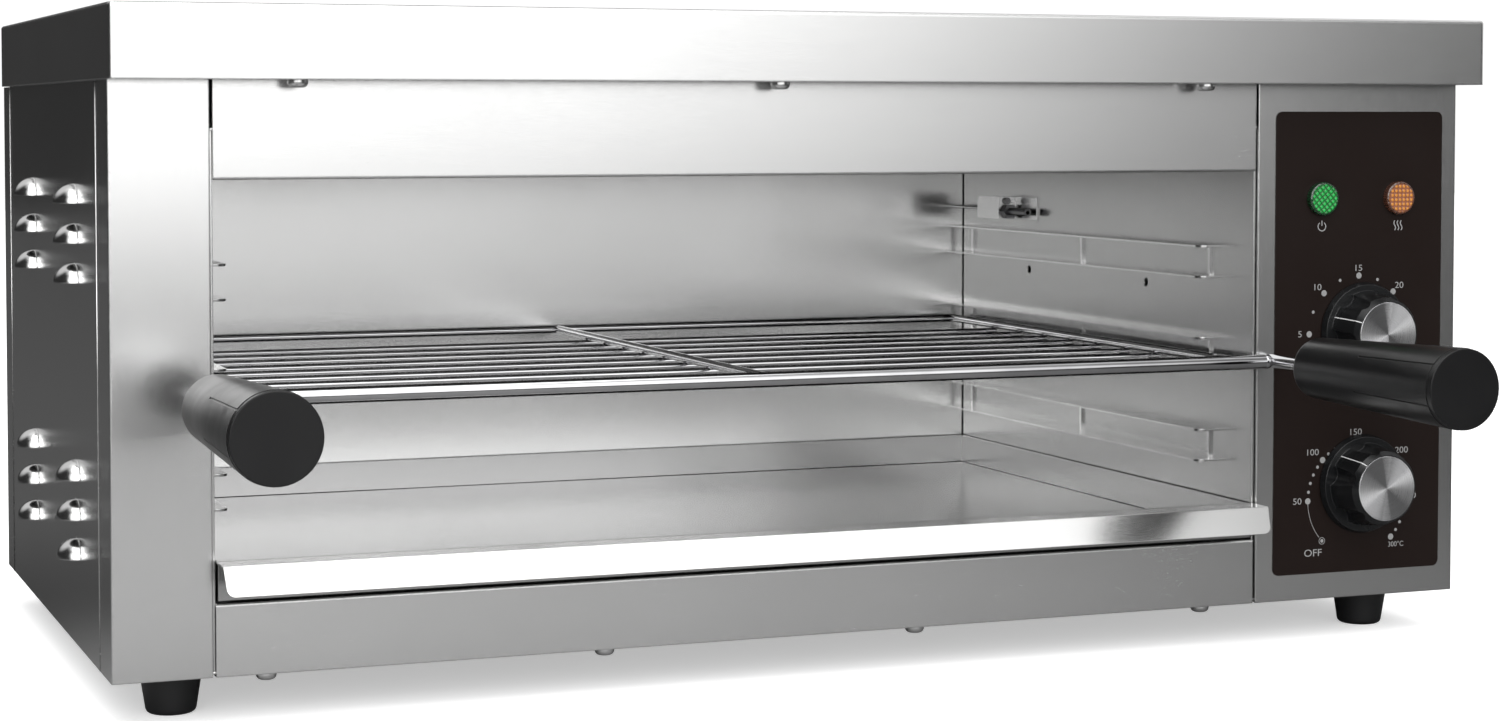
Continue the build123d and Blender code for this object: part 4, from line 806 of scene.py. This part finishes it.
@dataclass
class PrintLayer(MeshPiece):
    """Flat shapes of one thickness that face the front, each placed by the middle of its back face."""

    thickness: float = 0.03 * MM

    CORNERS = 4
    DISC_SIDES = 24
    RING_STEPS = 48

    def disc(self, centre: Vector, radius: float) -> None:
        """Adds a disc."""
        middle = centre - Vector((0, self.thickness / 2, 0))
        matrix = Matrix.Translation(middle) @ Matrix.Rotation(math.radians(90), 4, "X")
        self.rod(matrix, radius, self.thickness, self.DISC_SIDES)

    def ring(self, centre: Vector, inner: float, outer: float, start: float, end: float) -> None:
        """Adds a ring, or part of one.

        Args:
            centre: Its middle.
            inner: Inner radius.
            outer: Outer radius.
            start: Angle where it starts, clockwise from the top, in degrees.
            end: Angle where it ends.
        """
        closed = abs(end - start) >= 360
        loops = []
        for step in range(self.RING_STEPS if closed else self.RING_STEPS + 1):
            angle = math.radians(start + (end - start) * step / self.RING_STEPS)
            way = Vector((math.sin(angle), 0, math.cos(angle)))
            front = Vector((0, -self.thickness, 0))
            loops.append([self.mesh.verts.new(centre + p) for p in
                          (way * inner, way * outer, way * outer + front, way * inner + front)])
        pairs = zip(loops, loops[1:] + loops[:1]) if closed else zip(loops, loops[1:])
        for first, second in pairs:
            for a in range(self.CORNERS):
                b = (a + 1) % self.CORNERS
                self.mesh.faces.new((first[a], first[b], second[b], second[a]))
        if not closed:
            self.mesh.faces.new(loops[0][::-1])
            self.mesh.faces.new(loops[-1])

    def outline(self, centre: Vector, points: Sequence[Pair]) -> None:
        """Adds a shape.

        Args:
            centre: Where its middle lies.
            points: Its outline, right and up from the middle.
        """
        back = [self.mesh.verts.new(centre + Vector((x, 0, z))) for x, z in points]
        front = [self.mesh.verts.new(centre + Vector((x, -self.thickness, z))) for x, z in points]
        self.mesh.faces.new(back)
        self.mesh.faces.new(front[::-1])
        for index in range(len(points)):
            after = (index + 1) % len(points)
            self.mesh.faces.new((back[index], front[index], front[after], back[after]))

    def stroke(self, centre: Vector, points: Sequence[Pair], width: float) -> None:
        """Adds a line of even width.

        Args:
            centre: Where its middle lies.
            points: The line's points, right and up from the middle.
            width: Its width.
        """
        left, right = [], []
        for index, (x, z) in enumerate(points):
            before = Vector(points[max(index - 1, 0)])
            after = Vector(points[min(index + 1, len(points) - 1)])
            way = (after - before).normalized()
            left.append((x - way.y * width / 2, z + way.x * width / 2))
            right.append((x + way.y * width / 2, z - way.x * width / 2))
        self.outline(centre, left + right[::-1])


@dataclass
class SubAssembly:
    """A part of the melter: the finish of each of its nodes, and the thin trim that the CAD leaves out."""

    book: FinishBook

    FINISHES: ClassVar[NodeTable] = {}

    def dress(self, frame: dict) -> None:
        """Gives each node of the part its finish and adds the trim.

        Args:
            frame: The loaded frame.
        """
        for finish, nodes in self.FINISHES.items():
            for node in nodes:
                for slot in frame["nodes"][node].material_slots:
                    slot.material = self.book[finish]
                LOG.info("node %s has the finish %s", node, finish)
        self.trim()

    def trim(self) -> None:
        """Adds the part's own mesh pieces, if it has any."""


@dataclass
class SheetCase(SubAssembly):
    """The folded case, its cavity and everything fixed in it."""

    FINISHES: ClassVar[NodeTable] = {
        "case_lid": ("top_cover",),
        "case_post": ("left_post", "control_panel"),
        "case_front": ("front_fascia", "lower_strip", "rear_panel", "base_panel"),
        "case_side": ("left_side_panel", "right_side_panel"),
        "cavity_sheet": ("cover_angles", "cavity_left_wall", "cavity_back_wall"),
        "right_wall_sheet": ("cavity_right_wall",),
        "reflector": ("cavity_roof", "heat_shield"),
        "guide_sheet": ("left_rack_guides", "right_rack_guides", "tray_runners", "element_hangers"),
        "plated_steel": ("cover_screws", "strip_screws", "rear_spacers", "rear_screws", "foot_screws",
                         "element_ends", "sensor_capillary"),
        "heater_tube": ("front_heating_element", "rear_heating_element"),
        "bracket_sheet": ("sensor_bracket",),
        "dark_steel": ("sensor_tube", "sensor_fasteners"),
        "foot_rubber": ("feet",),
        "green_lens": ("green_lamp_lens",),
        "amber_lens": ("amber_lamp_lens",),
        "lamp_holder": ("lamp_bodies",),
        "control_case": ("timer_body", "thermostat_body"),
        "terminal_plastic": ("terminal_block",),
        "gland_plastic": ("cable_gland", "gland_nut"),
        "lead_sleeve": ("wiring_leads",),
    }

    seam_bead: float = 0.25 * MM
    rear_flange: float = 23.0 * MM

    def trim(self) -> None:
        """Rolls the edges beside the side walls' seams."""
        edges = MeshPiece("seam_edges")
        rear_low, rear_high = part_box("rear_panel")
        front_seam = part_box("left_post")[1].y - self.seam_bead
        rear_seam = rear_high.y - self.rear_flange + self.seam_bead
        for x in (rear_low.x, rear_high.x):
            for y in (front_seam, rear_seam):
                edges.bead(Vector((x, y, rear_low.z)), Vector((x, y, rear_high.z)), self.seam_bead)
        edges.finish(Body.HOUSING, self.book["seam_edge"], "case_steel", smooth=True)


@dataclass
class WireRack(SubAssembly):
    """The rack with its grips, and the welds where its rods meet."""

    FINISHES: ClassVar[NodeTable] = {
        "bright_wire": ("rack_front_bar", "rack_side_rails", "rack_rear_bar", "rack_centre_rod", "rack_wires",
                        "handle_rods"),
        "grip_plastic": ("left_handle", "right_handle", "handle_caps"),
    }

    weld: Triple = (3.2 * MM, 1.6 * MM, 2.6 * MM)
    end_weld: Triple = (3.0 * MM, 3.5 * MM, 3.5 * MM)

    def trim(self) -> None:
        """Adds the welds behind the front bar and at its ends."""
        bar_low, bar_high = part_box("rack_front_bar")
        rails_low, rails_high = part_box("rack_side_rails")
        rod_low, rod_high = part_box("rack_centre_rod")
        radius = (rails_high.z - rails_low.z) / 2
        z = (rails_high.z + rails_low.z) / 2
        welds = MeshPiece("rack_welds")
        for x in (rails_low.x + radius, (rod_low.x + rod_high.x) / 2, rails_high.x - radius):
            welds.blob(Vector((x, bar_high.y, z)), self.weld)
        inward = self.end_weld[0] / 3
        for x in (bar_low.x + inward, bar_high.x - inward):
            welds.blob(Vector((x, (bar_high.y + bar_low.y) / 2, z)), self.end_weld)
        welds.finish(Body.RACK, self.book["bright_wire"], "bright_wire", smooth=True)


@dataclass
class CrumbTray(SubAssembly):
    """The pull-out tray under the rack."""

    FINISHES: ClassVar[NodeTable] = {"tray_sheet": ("crumb_tray",)}

    lip_wider: float = 0.7 * MM
    sheet: float = 0.8 * MM
    floor_height: float = 47.9 * MM
    fold: float = 0.28 * MM
    fold_start: float = 2.0 * MM

    def trim(self) -> None:
        """Lays thin dark beads round the tray's floor, as painted shade where its sides turn up."""
        low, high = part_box("crumb_tray")
        left = low.x + self.lip_wider + self.sheet
        right = high.x - self.lip_wider - self.sheet
        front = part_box("lower_strip")[0].y + self.fold_start
        back = high.y - self.sheet
        corners = [Vector((x, y, self.floor_height + self.sheet))
                   for x, y in ((left, front), (left, back), (right, back), (right, front))]
        # Painted shade: dark steel beads along the creases round the tray's floor.
        folds = MeshPiece("tray_fold_shade")
        for start, end in zip(corners, corners[1:]):
            folds.bead(start, end, self.fold)
        folds.finish(Body.TRAY, self.book["dark_steel"], "cavity_steel", smooth=True)


@dataclass
class Knobs(SubAssembly):
    """The two control knobs and their shafts."""

    FINISHES: ClassVar[NodeTable] = {
        "knob_plastic": ("timer_knob", "thermostat_knob"),
        "timer_disc": ("timer_knob_cap",),
        "thermostat_disc": ("thermostat_knob_cap",),
        "pointer_white": ("timer_knob_pointer", "thermostat_knob_pointer"),
        "plated_steel": ("timer_shaft", "thermostat_shaft"),
    }


@dataclass(frozen=True)
class DialScale:
    """One printed scale.

    Its numbers are given as the angle of their dot, clockwise from the top in degrees, their text, and
    their place to the right of the scale's middle and above it in millimetres.
    """

    name: str
    centre: Pair
    numbers: tuple[tuple[float, str, Pair], ...]
    small_dots: tuple[float, ...]


TIMER_SCALE = DialScale(
    "timer",
    (251.6 * MM, 137.4 * MM),
    (
        (-90, "5", (-30.5, 0.0)),
        (-45, "10", (-21.8, 20.8)),
        (0, "15", (-0.4, 29.0)),
        (45, "20", (21.4, 20.9)),
        (90, "25", (28.9, 0.0)),
        (135, "30", (22.0, -22.2)),
        (-135, "0", (-20.8, -21.5)),
    ),
    tuple(-112.5 + 45 * step for step in range(6)),
)
THERMOSTAT_SCALE = DialScale(
    "thermostat",
    (251.6 * MM, 62.65 * MM),
    (
        (-90, "50", (-31.2, 0.0)),
        (-45, "100", (-23.6, 21.7)),
        (0, "150", (-1.1, 30.0)),
        (45, "200", (23.5, 20.9)),
        (90, "250", (28.0, 0.0)),
        (135, "300°C", (20.9, -21.7)),
    ),
    tuple(-90 + 9 * step for step in range(25) if step % 5),
)


@dataclass
class DialPrint(SubAssembly):
    """The label and the print on it: two scales, the word OFF and a sign for each lamp."""

    FINISHES: ClassVar[NodeTable] = {"label_film": ("panel_label",)}

    ink: float = PrintLayer.thickness
    dot_circle: float = 25.7 * MM
    large_dot: float = 1.4 * MM
    small_dot: float = 0.72 * MM
    digit_height: float = 3.35 * MM
    digit_stretch: float = 1.18
    degree_height: float = 2.7 * MM
    font_size: float = 1.2
    curve_steps: int = 6

    off_angle: float = -135.0
    off_dot: float = 0.8 * MM
    off_ring: Pair = (1.35 * MM, 1.6 * MM)
    off_arc: Pair = (-130.0, -93.0)
    off_line: float = 0.12 * MM
    word_height: float = 3.8 * MM
    word_shift: Pair = (-22.8 * MM, -23.5 * MM)

    sign_height: float = 185.4 * MM
    sign_line: float = 0.5 * MM
    mains_x: float = 232.0 * MM
    mains_ring: Pair = (1.75 * MM, 2.2 * MM)
    mains_arc: Pair = (35.0, 325.0)
    mains_bar: Pair = (0.3 * MM, 2.6 * MM)
    heat_x: float = 272.0 * MM
    heat_pitch: float = 1.7 * MM
    heat_swing: float = 0.45 * MM
    heat_height: float = 4.4 * MM
    heat_steps: int = 10

    def trim(self) -> None:
        """Prints both scales, the switch word and the lamp signs on the label."""
        dots = PrintLayer("scale_dots")
        for scale in (TIMER_SCALE, THERMOSTAT_SCALE):
            for angle, text, (right, up) in scale.numbers:
                dots.disc(self.on_circle(scale, angle), self.large_dot)
                name = "number_" + "".join(c for c in text if c.isdigit()) + "_" + scale.name
                spot = self.spot(scale.centre[0] + right * MM, scale.centre[1] + up * MM)
                if text.isdigit():
                    self.write(name, text, spot, self.digit_height, self.digit_stretch)
                else:
                    self.write(name, text, spot, self.degree_height, 1.0)
            for angle in scale.small_dots:
                dots.disc(self.on_circle(scale, angle), self.small_dot)
        off = self.on_circle(THERMOSTAT_SCALE, self.off_angle)
        dots.disc(off, self.off_dot)
        dots.ring(off, *self.off_ring, 0, 360)
        x, z = THERMOSTAT_SCALE.centre
        inner, outer = self.dot_circle - self.off_line, self.dot_circle + self.off_line
        dots.ring(self.spot(x, z), inner, outer, *self.off_arc)
        dots.finish(Body.HOUSING, self.book["scale_print"], "white_mark")
        word = self.spot(x + self.word_shift[0], z + self.word_shift[1])
        self.write("word_off", "OFF", word, self.word_height, self.digit_stretch)
        self.lamp_signs()

    @cached_property
    def face(self) -> float:
        """Returns where the label's front face lies."""
        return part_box("panel_label")[0].y

    def spot(self, x: float, z: float) -> Vector:
        """Returns a place on the label's face."""
        return Vector((x, self.face, z))

    def on_circle(self, scale: DialScale, angle: float) -> Vector:
        """Returns the place on a scale's circle of dots at an angle, clockwise from the top in degrees."""
        turn = math.radians(angle)
        x, z = scale.centre
        return self.spot(x + self.dot_circle * math.sin(turn), z + self.dot_circle * math.cos(turn))

    def write(self, name: str, text: str, middle: Vector, height: float, stretch: float) -> None:
        """Prints a number or the switch word.

        Args:
            name: The piece's name.
            text: What is printed.
            middle: Its middle on the label's face.
            height: Height of its digits.
            stretch: How much wider than usual they are.
        """
        curve = bpy.data.curves.new(name, "FONT")
        curve.body = text
        curve.align_x = curve.align_y = "CENTER"
        curve.size = height * self.font_size
        curve.extrude = self.ink / 2
        curve.resolution_u = self.curve_steps
        shape = bpy.data.objects.new(name + "_outline", curve)
        bpy.context.scene.collection.objects.link(shape)
        bpy.context.view_layer.update()
        data = bpy.data.meshes.new_from_object(shape.evaluated_get(bpy.context.evaluated_depsgraph_get()))
        bpy.data.objects.remove(shape)
        upright = Matrix.Rotation(math.radians(90), 4, "X") @ Matrix.Diagonal((stretch, 1.0, 1.0, 1.0))
        data.transform(Matrix.Translation(middle - Vector((0, self.ink / 2, 0))) @ upright)
        data.name = name
        add_piece(name, data, Body.HOUSING, self.book["scale_print"])

    def lamp_signs(self) -> None:
        """Prints a mains sign under the green lamp and a heat sign under the amber one."""
        signs = PrintLayer("lamp_signs")
        mains = self.spot(self.mains_x, self.sign_height)
        signs.ring(mains, *self.mains_ring, *self.mains_arc)
        signs.stroke(mains, [(0.0, z) for z in self.mains_bar], self.sign_line)
        for column in (-1, 0, 1):
            wave = []
            for step in range(self.heat_steps + 1):
                share = step / self.heat_steps
                swing = self.heat_swing * math.sin(share * 2 * math.pi)
                wave.append((column * self.heat_pitch + swing, (share - 0.5) * self.heat_height))
            signs.stroke(self.spot(self.heat_x, self.sign_height), wave, self.sign_line)
        signs.finish(Body.HOUSING, self.book["scale_print"], "white_mark")


@dataclass(frozen=True)
class Lobe:
    """One soft patch of light in the surroundings, its angles in degrees."""

    azimuth: float
    elevation: float
    inner: float
    outer: float
    strength: float

    def direction(self) -> Vector:
        """Returns the way to its middle: azimuth 0 is in front, 90 to the right."""
        a, e = math.radians(self.azimuth), math.radians(self.elevation)
        return Vector((math.sin(a) * math.cos(e), -math.cos(a) * math.cos(e), math.sin(e)))


@dataclass(frozen=True)
class Softbox:
    """A soft rectangular light, its sizes in metres and its power in watts."""

    name: str
    place: Triple
    target: Triple
    width: float
    height: float
    power: float

    def build(self) -> None:
        """Makes the light and points it at its target."""
        data = bpy.data.lights.new(self.name, "AREA")
        data.shape = "RECTANGLE"
        data.size = self.width
        data.size_y = self.height
        data.energy = self.power
        light = bpy.data.objects.new(self.name, data)
        light.location = self.place
        way = Vector(self.target) - Vector(self.place)
        light.rotation_euler = way.to_track_quat("-Z", "Y").to_euler()
        bpy.context.scene.collection.objects.link(light)


@dataclass
class Studio:
    """The stage: floor, soft light and surroundings."""

    book: FinishBook
    floor_reach: float = 6.0
    ambient: float = 0.03
    backdrop: float = 1.05
    lobes: tuple[Lobe, ...] = (
        Lobe(-12, 20, 30, 50, 2.6),
        Lobe(0, 80, 20, 50, 0.9),
        Lobe(105, 25, 20, 52, 0.9),
        Lobe(205, 42, 12, 36, 0.8),
    )
    softboxes: tuple[Softbox, ...] = (
        Softbox("top_softbox", (-0.3, -0.5, 1.7), (0, 0, 0.1), 1.8, 1.4, 16.0),
        Softbox("front_softbox", (-1.3, -2.2, 1.1), (0, 0, 0.15), 1.4, 1.0, 14.0),
    )

    def build(self) -> None:
        """Builds the stage."""
        bpy.context.scene.view_settings.view_transform = "Standard"
        self.floor()
        self.surroundings()
        for softbox in self.softboxes:
            softbox.build()
        LOG.info("the stage has its floor, surroundings and %d softboxes", len(self.softboxes))

    def floor(self) -> None:
        """Lays the floor."""
        data = bpy.data.meshes.new("floor")
        r = self.floor_reach
        data.from_pydata([(-r, -r, 0), (r, -r, 0), (r, r, 0), (-r, r, 0)], [], [(0, 1, 2, 3)])
        data.materials.append(self.book["pale_floor"])
        floor = bpy.data.objects.new("floor", data)
        bpy.context.scene.collection.objects.link(floor)

    def surroundings(self) -> None:
        """Makes the world: a white backdrop, and soft patches of light all round."""
        world = bpy.data.worlds.new("surroundings")
        world.use_nodes = True
        world.node_tree.nodes.clear()
        desk = NodeDesk(world.node_tree)
        where = desk.add("ShaderNodeTexCoord")
        total: object = self.ambient
        for lobe in self.lobes:
            near = desk.measure("DOT_PRODUCT", where.outputs["Generated"], tuple(lobe.direction()))
            inner, outer = math.cos(math.radians(lobe.inner)), math.cos(math.radians(lobe.outer))
            total = desk.maths("ADD", desk.spread(near, outer, inner, 0.0, lobe.strength, smooth=True), total)
        soft, plain = (desk.add("ShaderNodeBackground", {"Color": WHITE, "Strength": strength}).outputs[0]
                       for strength in (total, self.backdrop))
        seen = desk.add("ShaderNodeLightPath").outputs["Is Camera Ray"]
        mix = desk.add("ShaderNodeMixShader", {"Fac": seen, 1: soft, 2: plain})
        desk.add("ShaderNodeOutputWorld", {"Surface": mix.outputs[0]})
        bpy.context.scene.world = world


@dataclass
class PhotoCamera:
    """The camera at the photograph's place, its angles in radians and its lens in millimetres."""

    place: Triple = (-0.47078, -1.16608, 0.23447)
    yaw: float = 0.36864
    pitch: float = -0.04216
    lens: float = 67.70
    sensor: float = 36.0
    shift: Pair = (0.02024, -0.08353)
    clip: Pair = (0.05, 50.0)

    def build(self) -> None:
        """Makes the camera."""
        data = bpy.data.cameras.new("photo_camera")
        data.sensor_fit = "HORIZONTAL"
        data.sensor_width = self.sensor
        data.lens = self.lens
        data.shift_x, data.shift_y = self.shift
        data.clip_start, data.clip_end = self.clip
        camera = bpy.data.objects.new("photo_camera", data)
        level = math.cos(self.pitch)
        look = Vector((math.sin(self.yaw) * level, math.cos(self.yaw) * level, math.sin(self.pitch)))
        camera.location = self.place
        camera.rotation_mode = "QUATERNION"
        camera.rotation_quaternion = look.to_track_quat("-Z", "Y")
        bpy.context.scene.collection.objects.link(camera)
        bpy.context.scene.camera = camera
        LOG.info("the camera stands at the photograph's place")


def main() -> None:
    """Builds the scene in order."""
    logging.basicConfig(level=logging.INFO, format="%(message)s")
    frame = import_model()
    PhotoCamera().build()
    book = FinishBook()
    Studio(book).build()
    for part in (SheetCase, WireRack, CrumbTray, Knobs, DialPrint):
        part(book).dress(frame)


if __name__ == "__main__":
    main()
